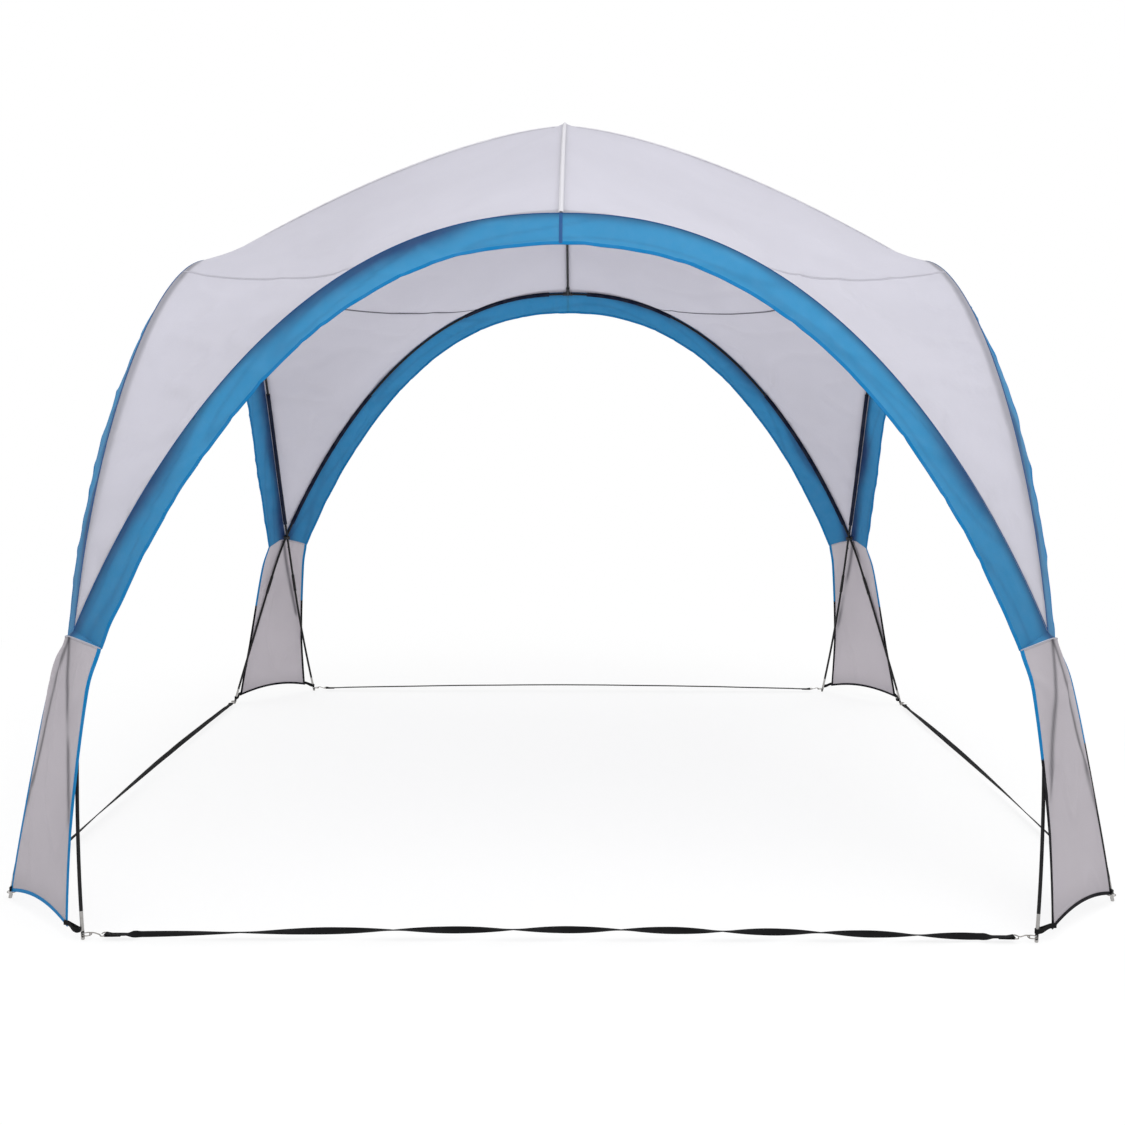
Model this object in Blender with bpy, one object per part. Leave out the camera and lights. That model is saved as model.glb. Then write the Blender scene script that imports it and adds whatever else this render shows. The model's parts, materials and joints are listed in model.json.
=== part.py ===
"""Tarp shelter: a square dome on four crossing pole arches and two ridge poles.

Metres, +Z up. The origin is on the ground under the apex. The front is -Y, the right is +X.
Every arch is modelled once as the front arch and turned in quarter turns for the other sides.
"""

import math

import bmesh
import bpy
from mathutils import Matrix, Vector

# Frame
SPAN = 1.750            # from the middle of an arch to its foot
FOOT_INSET = 1.405      # from the middle of the shelter to the plane of an arch, at the ground
BOW_LINEAR = 0.142      # the plane of an arch bows outwards with height
BOW_SQUARE = -0.066
ARCH_HEIGHT = 2.135     # pole centre line at the top of an arch
RISE_POWER = 1.300      # shape of a bent arch
SPREAD_POWER = 2.230
LEG_BOW = 0.28          # share of the bow that is left in the legs near the ground
LEG_BOW_POWER = 4
SEPARATION = 0.005      # front and back arches stand this far out, side arches this far in
RIDGE_HEIGHT = 2.675    # centre line of the long ridge pole at the apex
RIDGE_POWER = 1.52      # shape of a bent ridge pole
RIDGE_DROP = 0.0125     # the cross ridge pole passes this far under the long one at the apex

# Poles
POLE_R = 0.0055
FERRULE_R = 0.0075
BORE_R = 0.0062
FERRULE_LENGTH = 0.090
FERRULE_START = 0.020   # from the lower end of the straight stretch to the ferrule's mouth
INSERTION = 0.050       # how far a leg pole stands in its ferrule
SOCKET_SPARE = 0.006    # the socket is this much deeper
LEG_HEIGHTS = (0.0, 0.14, 0.28, 0.42, 0.56)
STRAIGHT_TOP = 0.72     # the arch is straight from the last leg height to here
UPRIGHT_SHARE = 0.2     # share of the lowest stretch of a leg pole that keeps the tip's direction
TIP_HOLE_R = 0.0039
RING_Z = 0.016          # height of the tip's hole
TUBE_SIDES = 8
HUB_SIDES = 12
HUB_FLAT = Vector((0.030, 0, 0))    # half of the straight stretch at the top of an arch
HUB_HALF = Vector((0.024, 0, 0))
HUB_R = 0.0085
HUB_BORE_R = 0.0064
RIDGE_SHORT = 0.020     # a ridge pole stops this far from the plane of the arch
SEAT_DEPTH = 0.030      # the ridge pole stands this deep in the hub's socket
SEAT_FLOOR = 0.003      # gap between the pole's end and the socket's floor
CLIP_HALF_WIDE = 0.0165
CLIP_HALF_DEEP = 0.0132
CLIP_HEIGHT = 0.010
CLIP_THICK = 0.0016

# Cloth
CLOTH = 0.0012
CLOTH_GAP = 0.0125      # from a pole's centre line to the middle of the cloth
SEAM_TILT = math.radians(33)    # the arch seam lies this far over from the top of the pole
BAND_WIDTH = 0.120
BAND_FLARE = math.radians(33)   # the band flares outwards from the plane of the arch
END_GROWTH = 0.010      # at its ends, the band is this much wider
END_UNFLARE = math.radians(5)   # and flares this much less
RIDGE_SLOPE_STEP = 0.01 # distance along the ridge over which its slope is taken
MEET_POWER = 6          # how sharply the cloth over the ridge bends down to the arch seam
SETTLE_ROUNDS = 150     # averaging rounds that draw a roof panel tight between its edges
HALF_STEPS = 10         # cloth and pole steps from a crossing to the top of an arch
EDGE_TRIM = 0.0020      # each edge stands this far back from the seam
BAND_ROWS = 3
END_POWER = 4           # how late along the arch the band's ends begin
BAND_TO_PANEL = Vector((0, 0, 0.002))   # the band's ends stand this far over the leg panel
PANEL_GAP = 0.0175      # from the poles to the leg panel, at the crossing
FOOT_GAP = 0.0080       # and at the ground
PANEL_BOTTOM = 0.022
PANEL_HOLLOW = 0.030    # the lower edge of a leg panel arches up by this much
PANEL_PEAK = 0.028      # its upper edge rises this much to the crossing
PANEL_SWELL = 0.036     # and swells out this much over the poles there
PANEL_COLUMNS = 8
NARROW_Z = 0.30         # a leg panel's side edges run in from the bands down to this height
NARROW_PAST = 0.05      # how far they still reach past the poles there, as a share of the bands
FOOT_PAST = -0.35       # and at the ground, where they stand in from the poles

# Fittings
RING_R = 0.013
RING_WIRE = 0.0016
RING_STEPS = 14
RING_PLAY = 0.0006      # the ring's wire bends away from the axis of its hole by about this much
HOOK_WIRE = 0.0018
HOOK_R = 0.0050
HOOK_TIP = 0.0050       # the open end of the hook reaches this far below the ring's middle
SHANK_BEND = 0.008      # from the middle of the hook's bend to where its shank slopes down
SHANK_END = Vector((0, -0.009, 0.0005))     # the shank's end, from the eye's shoulder
EYE_CORNER = Vector((0.002, -0.003, 0))     # the bend from the shank into the eye
EYE_CLOSE = Vector((-0.005, 0.0005, 0))     # the free end of the wire, beside the shank
EYE_DROP = 0.003        # the eye's shoulders slope by this much
EYE_HALF = 0.0150
EYE_START = 0.054       # from the foot, along the strap
EYE_END = 0.068         # the eye's bar, on which the hook turns in the strap's loop
LOOP_R = 0.0033         # middle of the webbing, round the eye's bar
LOOP_BACK = 0.045       # the webbing is sewn back under itself by this much
LOOP_GAP = 0.0025
LOOP_LEAN = 0.0006      # the sewn end leans this much away from the strap near the loop
SEWN_START = 0.012
NECK = 0.016            # the loop closes to the strap's line here
TWIST_START = 0.010     # from the sewn end to where the strap starts to twist
STRAP_WIDTH = 0.020
STRAP_THICK = 0.0020
HALF_TURNS = (7, 1, 0, -1)      # of the webbing along the front, right, back and left strap
LOOP_LEAD = 0.096       # share of all its turns that the webbing makes close to its loops
LOOP_SHARE = 0.020      # share of the strap's length that counts as close to a loop
TURN_LAG = 0.138        # share of its turns by which the webbing lags behind further on
LAG_POWER = 0.65        # below 1, the lag is greatest nearer the strap's start
STRAP_STEPS = 60
STRAP_RISE = 0.018      # the strap rides up over the ground in the middle
TIE_HALF = 0.0130
TIE_THICK = 0.0012
TIE_HEIGHT = 0.016
BAND_CORNER = 0.5       # corner radius of a flat band, as a share of its half width
CORD_R = 0.0015
TOGGLE_R = 0.0065
TOGGLE_SIDES = 6
CORD_LENGTH = 0.045
CORD_GAP = 0.0008       # between the cord and the tie

SIDES = ("front", "right", "back", "left")
OUTWARD = Vector((0, -1, 0))
UP = Vector((0, 0, 1))

COLOURS = {
    "roof_fabric": ((0.66, 0.65, 0.70), 0.75, 0.0),
    "band_fabric": ((0.07, 0.30, 0.60), 0.70, 0.0),
    "leg_fabric": ((0.58, 0.57, 0.60), 0.75, 0.0),
    "pole": ((0.015, 0.015, 0.018), 0.35, 0.0),
    "hub": ((0.02, 0.02, 0.02), 0.50, 0.0),
    "steel": ((0.55, 0.55, 0.56), 0.30, 1.0),
    "webbing": ((0.012, 0.012, 0.012), 0.85, 0.0),
}


# ---------------------------------------------------------------- scene helpers

def material(slot):
    found = bpy.data.materials.get(slot)
    if found:
        return found
    colour, roughness, metallic = COLOURS[slot]
    made = bpy.data.materials.new(slot)
    made.use_nodes = True
    shader = made.node_tree.nodes["Principled BSDF"]
    shader.inputs["Base Color"].default_value = (*colour, 1)
    shader.inputs["Roughness"].default_value = roughness
    shader.inputs["Metallic"].default_value = metallic
    return made


def add_object(name, data, slot, matrix=None):
    made = bpy.data.objects.new(name, data)
    bpy.context.scene.collection.objects.link(made)
    made.data.materials.append(material(slot))
    if matrix is not None:
        made.matrix_world = matrix
    return made


def mesh_from(bm, name):
    bmesh.ops.recalc_face_normals(bm, faces=bm.faces)
    mesh = bpy.data.meshes.new(name)
    bm.to_mesh(mesh)
    bm.free()
    return mesh


def quarter(index):
    """The turn that carries the front arch to side number index."""
    return Matrix.Rotation(index * math.pi / 2, 4, "Z")


def mirror_x():
    return Matrix.Scale(-1, 4, (1, 0, 0))


# ---------------------------------------------------------------- curves of the frame

def bow_spread(z, span=SPAN):
    """Distance of an evenly bent arch pole from the middle of its arch, at height z."""
    return span * max(0.0, 1 - (z / ARCH_HEIGHT) ** RISE_POWER) ** (1 / SPREAD_POWER)


def plane_offset(z):
    """Distance of an arch pole from the middle of the shelter, at height z."""
    return FOOT_INSET + BOW_LINEAR * z + BOW_SQUARE * z * z


def find_crossing():
    """Height at which two neighbouring arches cross, by bisection."""
    low, high = 0.3, 1.5
    for _ in range(50):
        middle = (low + high) / 2
        if bow_spread(middle) > plane_offset(middle):
            low = middle
        else:
            high = middle
    return low


CROSS_Z = find_crossing()


def half_spread(z, span=SPAN):
    """Distance of an arch pole from the middle of its arch; its legs bow less than the rest."""
    bowed = bow_spread(z, span)
    if z >= CROSS_Z:
        return bowed
    straight = span + (bow_spread(CROSS_Z, span) - span) * z / CROSS_Z
    kept = LEG_BOW + (1 - LEG_BOW) * (z / CROSS_Z) ** LEG_BOW_POWER
    return straight + kept * (bowed - straight)


def arch_point(z, separation, side=1):
    """A point of the front arch's right half (side 1) or left half (side -1)."""
    spread = half_spread(z, SPAN + separation)
    return Vector((side * spread, -plane_offset(z) - separation, z))


def crown_heights():
    """Heights of the crown's points, from a crossing to the top."""
    low = math.sqrt(1 - CROSS_Z / ARCH_HEIGHT)
    steps = [low * (1 - i / HALF_STEPS) for i in range(HALF_STEPS + 1)]
    return [ARCH_HEIGHT * (1 - t * t) for t in steps]


def crown_points(separation):
    """The crown of the front arch, from its left crossing to its right one."""
    heights = crown_heights()
    right = [arch_point(z, separation) for z in heights]
    left = [arch_point(z, separation, -1) for z in heights]
    return left + right[-2::-1]


def separation_of(index):
    return SEPARATION if index % 2 == 0 else -SEPARATION


REACH = plane_offset(ARCH_HEIGHT)


def ridge_point(y, drop=0.0):
    """A point of the ridge over the line x = 0; drop lowers its apex only."""
    rise = (RIDGE_HEIGHT - drop - ARCH_HEIGHT) * (1 - (abs(y) / REACH) ** RIDGE_POWER)
    return Vector((0, y, ARCH_HEIGHT + rise))


def tangents(points):
    ahead = [points[min(i + 1, len(points) - 1)] for i in range(len(points))]
    behind = [points[max(i - 1, 0)] for i in range(len(points))]
    return [(a - b).normalized() for a, b in zip(ahead, behind)]


def inward_normals(points):
    """For each point of the front arch, the direction in its plane towards the opening."""
    normals = []
    for tangent in tangents(points):
        across = tangent.cross(OUTWARD).normalized()
        normals.append(across if across.z < 0 else -across)
    return normals


# ---------------------------------------------------------------- solids

def station_tube(stations, sides=TUBE_SIDES):
    """A closed tube through rings, each given as (centre, direction, radius)."""
    bm = bmesh.new()
    reference = stations[0][1].orthogonal().normalized()
    rings = []
    for centre, direction, radius in stations:
        reference = (reference - reference.dot(direction) * direction).normalized()
        other = direction.cross(reference)
        angles = [2 * math.pi * i / sides for i in range(sides)]
        rings.append([
            bm.verts.new(centre + radius * (math.cos(a) * reference + math.sin(a) * other))
            for a in angles
        ])
    for first, second in zip(rings, rings[1:]):
        for i in range(sides):
            j = (i + 1) % sides
            bm.faces.new((first[i], first[j], second[j], second[i]))
    bm.faces.new(rings[0][::-1])
    bm.faces.new(rings[-1])
    return bm


def wire(name, points, radius, slot, matrix, closed=False, resolution=1):
    """A round wire or rod along points: a poly curve with a round bevel."""
    curve = bpy.data.curves.new(name, "CURVE")
    curve.dimensions = "3D"
    curve.bevel_depth = radius
    curve.bevel_resolution = resolution
    curve.use_fill_caps = True
    spline = curve.splines.new("POLY")
    spline.points.add(len(points) - 1)
    for target, point in zip(spline.points, points):
        target.co = (*point, 1)
    spline.use_cyclic_u = closed
    return add_object(name, curve, slot, matrix)


def sheet(name, rows, slot, matrix=None, thickness=CLOTH):
    """A thin closed solid over a grid of points."""
    bm = bmesh.new()
    grid = [[bm.verts.new(point) for point in row] for row in rows]
    for lower, upper in zip(grid, grid[1:]):
        for i in range(len(lower) - 1):
            bm.faces.new((lower[i], lower[i + 1], upper[i + 1], upper[i]))
    made = add_object(name, mesh_from(bm, name), slot, matrix)
    thicken = made.modifiers.new("thickness", "SOLIDIFY")
    thicken.thickness = thickness
    thicken.offset = 0
    return made


def cylinder(name, start, end, radius, sides=TUBE_SIDES):
    bm = station_tube([
        (start, (end - start).normalized(), radius),
        (end, (end - start).normalized(), radius),
    ], sides)
    made = bpy.data.objects.new(name, mesh_from(bm, name))
    bpy.context.scene.collection.objects.link(made)
    made.hide_render = True
    made.display_type = "WIRE"
    return made


def combine(target, tool, operation):
    change = target.modifiers.new(operation.lower(), "BOOLEAN")
    change.operation = operation
    change.object = tool
    change.solver = "EXACT"


# ---------------------------------------------------------------- poles

def crown_pole(index):
    """The bent upper part of an arch, with a ferrule socket at each end for a leg pole."""
    separation = separation_of(index)
    points = crown_points(separation)
    flat = points[HALF_STEPS]
    points[HALF_STEPS:HALF_STEPS + 1] = [flat - HUB_FLAT, flat + HUB_FLAT]
    points.insert(0, arch_point(STRAIGHT_TOP, separation, -1))
    points.append(arch_point(STRAIGHT_TOP, separation))
    ends = [arch_point(LEG_HEIGHTS[-1], separation, side) for side in (-1, 1)]
    body = [(p, t, POLE_R) for p, t in zip(points, tangents(points))]

    def socket(top, low):
        upwards = (top - low).normalized()
        mouth = low + FERRULE_START * upwards
        bottom = mouth + (INSERTION + SOCKET_SPARE) * upwards
        shoulder = mouth + FERRULE_LENGTH * upwards
        return [
            (bottom, upwards, BORE_R),
            (mouth, upwards, BORE_R),
            (mouth, upwards, FERRULE_R),
            (shoulder, upwards, FERRULE_R),
            (shoulder, upwards, POLE_R),
        ]

    left = socket(points[0], ends[0])
    right = [(p, -d, r) for p, d, r in reversed(socket(points[-1], ends[1]))]
    name = f"{SIDES[index]}_arch_crown_pole"
    bm = station_tube(left + body + right)
    add_object(name, mesh_from(bm, name), "pole", quarter(index))


def leg_pole(index, side, name):
    """A leg pole from the ground into its ferrule, with a cross hole for the foot ring."""
    separation = separation_of(index)
    points = [arch_point(z, separation, side) for z in LEG_HEIGHTS]
    straight = (arch_point(STRAIGHT_TOP, separation, side) - points[-1]).normalized()
    points.append(points[-1] + (FERRULE_START + INSERTION) * straight)
    directions = tangents(points)
    directions[0] = UP
    directions[-1] = straight
    stations = [(p, d, POLE_R) for p, d in zip(points, directions)]
    foot = points[0]
    tip_top = foot.lerp(points[1], UPRIGHT_SHARE)
    stations.insert(1, (tip_top, UP, POLE_R))
    turn = quarter(index)
    made = add_object(name, mesh_from(station_tube(stations), name), "pole", turn)
    centre = foot + Vector((0, 0, RING_Z))
    along = Vector((2 * POLE_R, 0, 0))
    ends = (turn @ (centre - along), turn @ (centre + along))
    cutter = cylinder(name + "_hole", *ends, TIP_HOLE_R)
    combine(made, cutter, "DIFFERENCE")


def ridge_pole(name, turn, drop):
    reach = REACH - RIDGE_SHORT
    count = 2 * HALF_STEPS
    ys = [reach * (2 * i / count - 1) for i in range(count + 1)]
    points = [ridge_point(y, drop) for y in ys]
    wire(name, points, POLE_R, "pole", quarter(turn), resolution=2)


def arch_hub(index):
    """A moulded tee: a sleeve on the top of the arch, and a socket for the ridge pole's end."""
    separation = separation_of(index)
    drop = RIDGE_DROP * (index % 2)
    turn = quarter(index)
    top = arch_point(ARCH_HEIGHT, separation)
    start = ridge_point(RIDGE_SHORT - REACH, drop)
    inner = ridge_point(2 * RIDGE_SHORT - REACH, drop)
    along = (inner - start).normalized()
    root = start - RIDGE_SHORT * along
    floor = start - SEAT_FLOOR * along
    name = f"{SIDES[index]}_arch_hub"
    tools = (
        ("sleeve", top - HUB_HALF, top + HUB_HALF, HUB_R, None),
        ("socket", root, start + SEAT_DEPTH * along, HUB_R, "UNION"),
        ("bore", top - 2 * HUB_HALF, top + 2 * HUB_HALF, HUB_BORE_R, "DIFFERENCE"),
        ("seat", floor, start + 2 * SEAT_DEPTH * along, HUB_BORE_R, "DIFFERENCE"),
    )
    hub = None
    for part, low, high, radius, operation in tools:
        piece = cylinder(f"{name}_{part}", turn @ low, turn @ high, radius, HUB_SIDES)
        if hub is None:
            hub = piece
            hub.name = name
            hub.hide_render = False
            hub.display_type = "TEXTURED"
            hub.data.materials.append(material("hub"))
        else:
            combine(hub, piece, operation)


def band_ring(name, matrix, half_wide, half_deep, height, thickness, slot):
    """A flat band bent round into a rounded rectangle; matrix gives its place and axes."""
    outline = []
    corner = min(half_wide, half_deep) * BAND_CORNER
    for cx, cy, start in ((1, 1, 0), (-1, 1, 90), (-1, -1, 180), (1, -1, 270)):
        for step in range(3):
            angle = math.radians(start + 45 * step)
            outline.append((
                cx * (half_wide - corner) + corner * math.cos(angle),
                cy * (half_deep - corner) + corner * math.sin(angle),
            ))
    bm = bmesh.new()
    loops = []
    for grow, z in ((0, -1), (0, 1), (thickness, 1), (thickness, -1)):
        wide, deep = 1 + grow / half_wide, 1 + grow / half_deep
        loops.append([bm.verts.new((x * wide, y * deep, z * height / 2)) for x, y in outline])
    for first, second in zip(loops, loops[1:] + loops[:1]):
        for i in range(len(outline)):
            j = (i + 1) % len(outline)
            bm.faces.new((first[i], first[j], second[j], second[i]))
    add_object(name, mesh_from(bm, name), slot, matrix)


def crossing_frame(index):
    """Place and axes of the crossing at the front right corner, turned to corner number index."""
    first = arch_point(CROSS_Z, SEPARATION)
    second = quarter(1) @ arch_point(CROSS_Z, -SEPARATION, -1)
    middle = (first + second) / 2
    lower = (arch_point(STRAIGHT_TOP, 0) + quarter(1) @ arch_point(STRAIGHT_TOP, 0, -1)) / 2
    upward = (middle - lower).normalized()
    across = Vector((1, 1, 0)).normalized()
    out = across.cross(upward).normalized()
    axes = Matrix((across, out, upward)).transposed().to_4x4()
    return quarter(index) @ Matrix.Translation(middle) @ axes


def corner_tie(index, corner):
    """The elastic band that ties the two arches together where they cross."""
    frame = crossing_frame(index)
    name = f"{corner}_corner_tie"
    band_ring(name, frame, TIE_HALF, TIE_HALF, TIE_HEIGHT, TIE_THICK, "webbing")


def corner_toggle(index, corner):
    """A ball on a cord, hung from the inner face of the corner tie; it turns on the cord's top."""
    crossing = crossing_frame(index).translation
    inwards = Vector((-crossing.x, -crossing.y, 0)).normalized()
    top = crossing + inwards * (TIE_HALF + TIE_THICK + CORD_R + CORD_GAP)
    down = -UP
    stations = [(0 * down, down, CORD_R), (CORD_LENGTH * down, down, CORD_R)]
    for degrees in range(30, 180, 30):
        angle = math.radians(degrees)
        depth = CORD_LENGTH + TOGGLE_R * (1 - math.cos(angle))
        stations.append((depth * down, down, max(CORD_R, TOGGLE_R * math.sin(angle))))
    name = f"{corner}_corner_toggle"
    place = Matrix.Translation(top) @ quarter(index)
    add_object(name, mesh_from(station_tube(stations, TOGGLE_SIDES), name), "hub", place)


def apex_clip():
    """The clip that holds the two ridge poles where they cross."""
    middle = Vector((0, 0, RIDGE_HEIGHT - RIDGE_DROP / 2))
    turn = Matrix.Rotation(math.pi / 4, 4, "Z") @ Matrix.Rotation(math.pi / 2, 4, "X")
    place = Matrix.Translation(middle) @ turn
    band_ring("apex_clip", place, CLIP_HALF_WIDE, CLIP_HALF_DEEP, CLIP_HEIGHT, CLIP_THICK, "hub")


# ---------------------------------------------------------------- cloth

def seam_points():
    """The seam over the front arch, between roof and band, from crossing to crossing."""
    points = crown_points(SEPARATION)
    moved = []
    for point, inwards in zip(points, inward_normals(points)):
        over = math.cos(SEAM_TILT) * -inwards + math.sin(SEAM_TILT) * OUTWARD
        moved.append(point + CLOTH_GAP * over)
    return moved


def ridge_cloth(count):
    """The roof over the long ridge pole, from the front arch's seam to the apex."""
    points = []
    for i in range(count + 1):
        y = -REACH * (1 - i / count)
        step = ridge_point(min(0.0, y + RIDGE_SLOPE_STEP)) - ridge_point(y - RIDGE_SLOPE_STEP)
        normal = Vector((1, 0, 0)).cross(step).normalized()
        points.append(ridge_point(y) + CLOTH_GAP * normal)
    miss = seam_points()[HALF_STEPS] - points[0]
    for i, point in enumerate(points):
        point += miss * (1 - i / count) ** MEET_POWER
    points[-1] = Vector((0, 0, RIDGE_HEIGHT + CLOTH_GAP))
    return points


def roof_quadrant(index, name):
    """The roof over the front right quarter, blended between its four edges, then turned."""
    seam = seam_points()
    front = seam[-1:HALF_STEPS - 1:-1]
    turn, back_turn = quarter(1), quarter(1).inverted()
    side = [turn @ p for p in seam[:HALF_STEPS + 1]]
    ridge = ridge_cloth(HALF_STEPS)
    cross = [turn @ p for p in ridge]
    steps = HALF_STEPS
    rows = []
    for j in range(steps + 1):
        v = j / steps
        row = []
        for i in range(steps + 1):
            u = i / steps
            along = front[i] * (1 - v) + cross[i] * v
            across = side[j] * (1 - u) + ridge[j] * u
            corners = (
                front[0] * (1 - u) * (1 - v) + front[-1] * u * (1 - v)
                + side[-1] * (1 - u) * v + ridge[-1] * u * v
            )
            row.append(along + across - corners)
        rows.append(row)
    settle(rows)
    inset_edges(rows)
    sheet(name, rows, "roof_fabric", quarter(index))


def settle(rows):
    """Draws a grid tight between its edges, as stretched cloth lies."""
    for _ in range(SETTLE_ROUNDS):
        before = [list(row) for row in rows]
        for j in range(1, len(rows) - 1):
            for i in range(1, len(rows[0]) - 1):
                around = before[j - 1][i] + before[j + 1][i] + before[j][i - 1] + before[j][i + 1]
                rows[j][i] = around / 4


def inset_edges(rows):
    """Draws the four edges of a grid in by EDGE_TRIM, so that neighbouring cloth keeps a gap."""
    def pull(point, inner):
        return point + (inner - point).normalized() * EDGE_TRIM

    for row in rows:
        row[0] = pull(row[0], row[1])
        row[-1] = pull(row[-1], row[-2])
    for i in range(len(rows[0])):
        rows[0][i] = pull(rows[0][i], rows[1][i])
        rows[-1][i] = pull(rows[-1][i], rows[-2][i])


def band_point(seam, inwards, share, end=0.0):
    """A point of the band, share of the way from seam to lower edge; end is 1 at its ends."""
    flare = BAND_FLARE - END_UNFLARE * end ** END_POWER
    width = BAND_WIDTH + END_GROWTH * end ** END_POWER
    return seam + share * width * (math.cos(flare) * inwards + math.sin(flare) * OUTWARD)


def panel_row(z):
    """The front right leg panel at height z, from the front arch's leg to the right arch's leg."""
    turn = quarter(1)
    seam = seam_points()
    inwards = inward_normals(crown_points(SEPARATION))
    # How far the bands' ends reach past the poles at the crossing
    front_reach = band_point(seam[-1], inwards[-1], 1, 1) - arch_point(CROSS_Z, SEPARATION)
    left_reach = band_point(seam[0], inwards[0], 1, 1) - arch_point(CROSS_Z, SEPARATION, -1)
    side_reach = turn @ left_reach
    if z > NARROW_Z:
        past = NARROW_PAST + (1 - NARROW_PAST) * (z - NARROW_Z) / (CROSS_Z - NARROW_Z)
    else:
        past = FOOT_PAST + (NARROW_PAST - FOOT_PAST) * z / NARROW_Z
    diagonal = Vector((1, -1, 0)).normalized()
    out = diagonal * (FOOT_GAP + (PANEL_GAP - FOOT_GAP) * z / CROSS_Z)
    # The edge beside the front arch's leg faces the right opening, so it continues the right band.
    start = arch_point(z, SEPARATION) + out + side_reach * past
    end = turn @ arch_point(z, SEPARATION, -1) + out + front_reach * past
    peak = UP * PANEL_PEAK * max(0, z - STRAIGHT_TOP) / (CROSS_Z - STRAIGHT_TOP)
    swell = diagonal * PANEL_SWELL * max(0, past) + peak
    row = []
    for i in range(PANEL_COLUMNS + 1):
        share = i / PANEL_COLUMNS
        row.append(start.lerp(end, share) + swell * math.sin(math.pi * share))
    return row


def arch_band(index):
    """The blue band that hangs out from the seam of an arch, down to the leg panels."""
    seam = seam_points()
    inwards = inward_normals(crown_points(SEPARATION))
    ends = [abs(i - HALF_STEPS) / HALF_STEPS for i in range(len(seam))]
    corner = panel_row(CROSS_Z)[PANEL_COLUMNS // 2:]
    rows = []
    for step in range(BAND_ROWS):
        share = step / (BAND_ROWS - 1)
        row = [band_point(p, n, share, e) for p, n, e in zip(seam, inwards, ends)]
        last = corner[round(share * (len(corner) - 1))] + BAND_TO_PANEL
        row.append(last)
        row.insert(0, mirror_x() @ last)
        rows.append(row)
    inset_edges(rows)
    sheet(f"{SIDES[index]}_arch_band", rows, "band_fabric", quarter(index))


def leg_panel(index, corner):
    """The panel outside a pair of legs, from the crossing to the feet."""
    heights = [CROSS_Z, STRAIGHT_TOP] + list(LEG_HEIGHTS[:0:-1]) + [PANEL_BOTTOM]
    rows = [panel_row(z) for z in heights]
    for i, point in enumerate(rows[-1]):
        side = 2 * i / PANEL_COLUMNS - 1
        point.z += PANEL_HOLLOW * (1 - side * side)
    inset_edges(rows)
    sheet(f"{corner}_leg_panel", rows, "leg_fabric", quarter(index))


# ---------------------------------------------------------------- ground straps

def foot_place(index, side, along):
    """Place of a fitting at the ring's height, a distance along the strap from this foot."""
    foot = arch_point(0, separation_of(index), side)
    return quarter(index) @ Matrix.Translation(foot + Vector((0, along, RING_Z)))


def foot_ring(index, side, name):
    """A steel ring through the hole in the tip of a leg pole; it turns on the hole's axis."""
    centre = Vector((0, RING_R - RING_PLAY, 0))
    points = []
    for i in range(RING_STEPS):
        angle = 2 * math.pi * i / RING_STEPS
        points.append(centre + RING_R * Vector((math.sin(angle), -math.cos(angle), 0)))
    wire(name, points, RING_WIRE, "steel", foot_place(index, side, 0), closed=True)


def strap_hook(index, side, name):
    """A bent wire hook over the foot ring, which turns on its eye's bar in the strap's loop."""
    bend = 2 * RING_R - RING_PLAY - EYE_END
    shoulder = Vector((0, EYE_START - EYE_END, 0))
    width = Vector((EYE_HALF, 0, 0))
    drop = Vector((0, EYE_DROP, 0))
    points = [Vector((0, bend - HOOK_R, -HOOK_TIP))]
    for degrees in (180, 135, 90):
        angle = math.radians(degrees)
        points.append(Vector((0, bend + HOOK_R * math.cos(angle), HOOK_R * math.sin(angle))))
    points += [
        Vector((0, bend + SHANK_BEND, HOOK_R)),
        shoulder + SHANK_END,
        shoulder + EYE_CORNER,
        shoulder + width + drop,
        width,
        -width,
        shoulder - width + drop,
        shoulder + EYE_CLOSE,
    ]
    wire(name, points, HOOK_WIRE, "steel", foot_place(index, side, EYE_END))


def strap_end():
    """(distance from the eye's bar, height) along the webbing's end loop, from its sewn-back end."""
    path = [(LOOP_BACK, -LOOP_GAP), (SEWN_START, -LOOP_GAP - LOOP_LEAN)]
    for degrees in (-90, -135, -180, -225, -270):
        angle = math.radians(degrees)
        path.append((LOOP_R * math.cos(angle), LOOP_R * math.sin(angle)))
    path.append((NECK, 0.0))
    path.append((LOOP_BACK + TWIST_START, 0.0))
    return path


def turned_share(share):
    """How far the webbing has turned share of the way along a strap, as a share of all its turns."""
    lead = LOOP_LEAD * min(1, share / LOOP_SHARE, (1 - share) / LOOP_SHARE)
    return share + lead - TURN_LAG * math.sin(math.pi * share ** LAG_POWER)


def ground_strap(index):
    """The webbing strap along one side, between the feet of the two neighbouring arches."""
    neighbour = separation_of(index + 1)
    reach = FOOT_INSET + neighbour - EYE_END
    flat = Vector((0, STRAP_WIDTH / 2, 0))
    end = strap_end()
    start_loop = [Vector((distance - reach, 0, height)) for distance, height in end]
    end_loop = [Vector((reach - distance, 0, height)) for distance, height in reversed(end)]
    half = reach - end[-1][0]
    rows = [[middle - flat, middle + flat] for middle in start_loop]
    last_flat = flat * (-1) ** HALF_TURNS[index]
    for i in range(1, STRAP_STEPS):
        share = i / STRAP_STEPS
        turned = math.pi * HALF_TURNS[index] * turned_share(share)
        across = Vector((0, math.cos(turned), math.sin(turned))) * STRAP_WIDTH / 2
        middle = Vector((half * (2 * share - 1), 0, STRAP_RISE * math.sin(math.pi * share)))
        rows.append([middle - across, middle + across])
    rows += [[middle - last_flat, middle + last_flat] for middle in end_loop]
    place = quarter(index) @ Matrix.Translation((0, -SPAN - neighbour, RING_Z))
    sheet(f"{SIDES[index]}_ground_strap", rows, "webbing", place, STRAP_THICK)


# ---------------------------------------------------------------- the shelter

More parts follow.
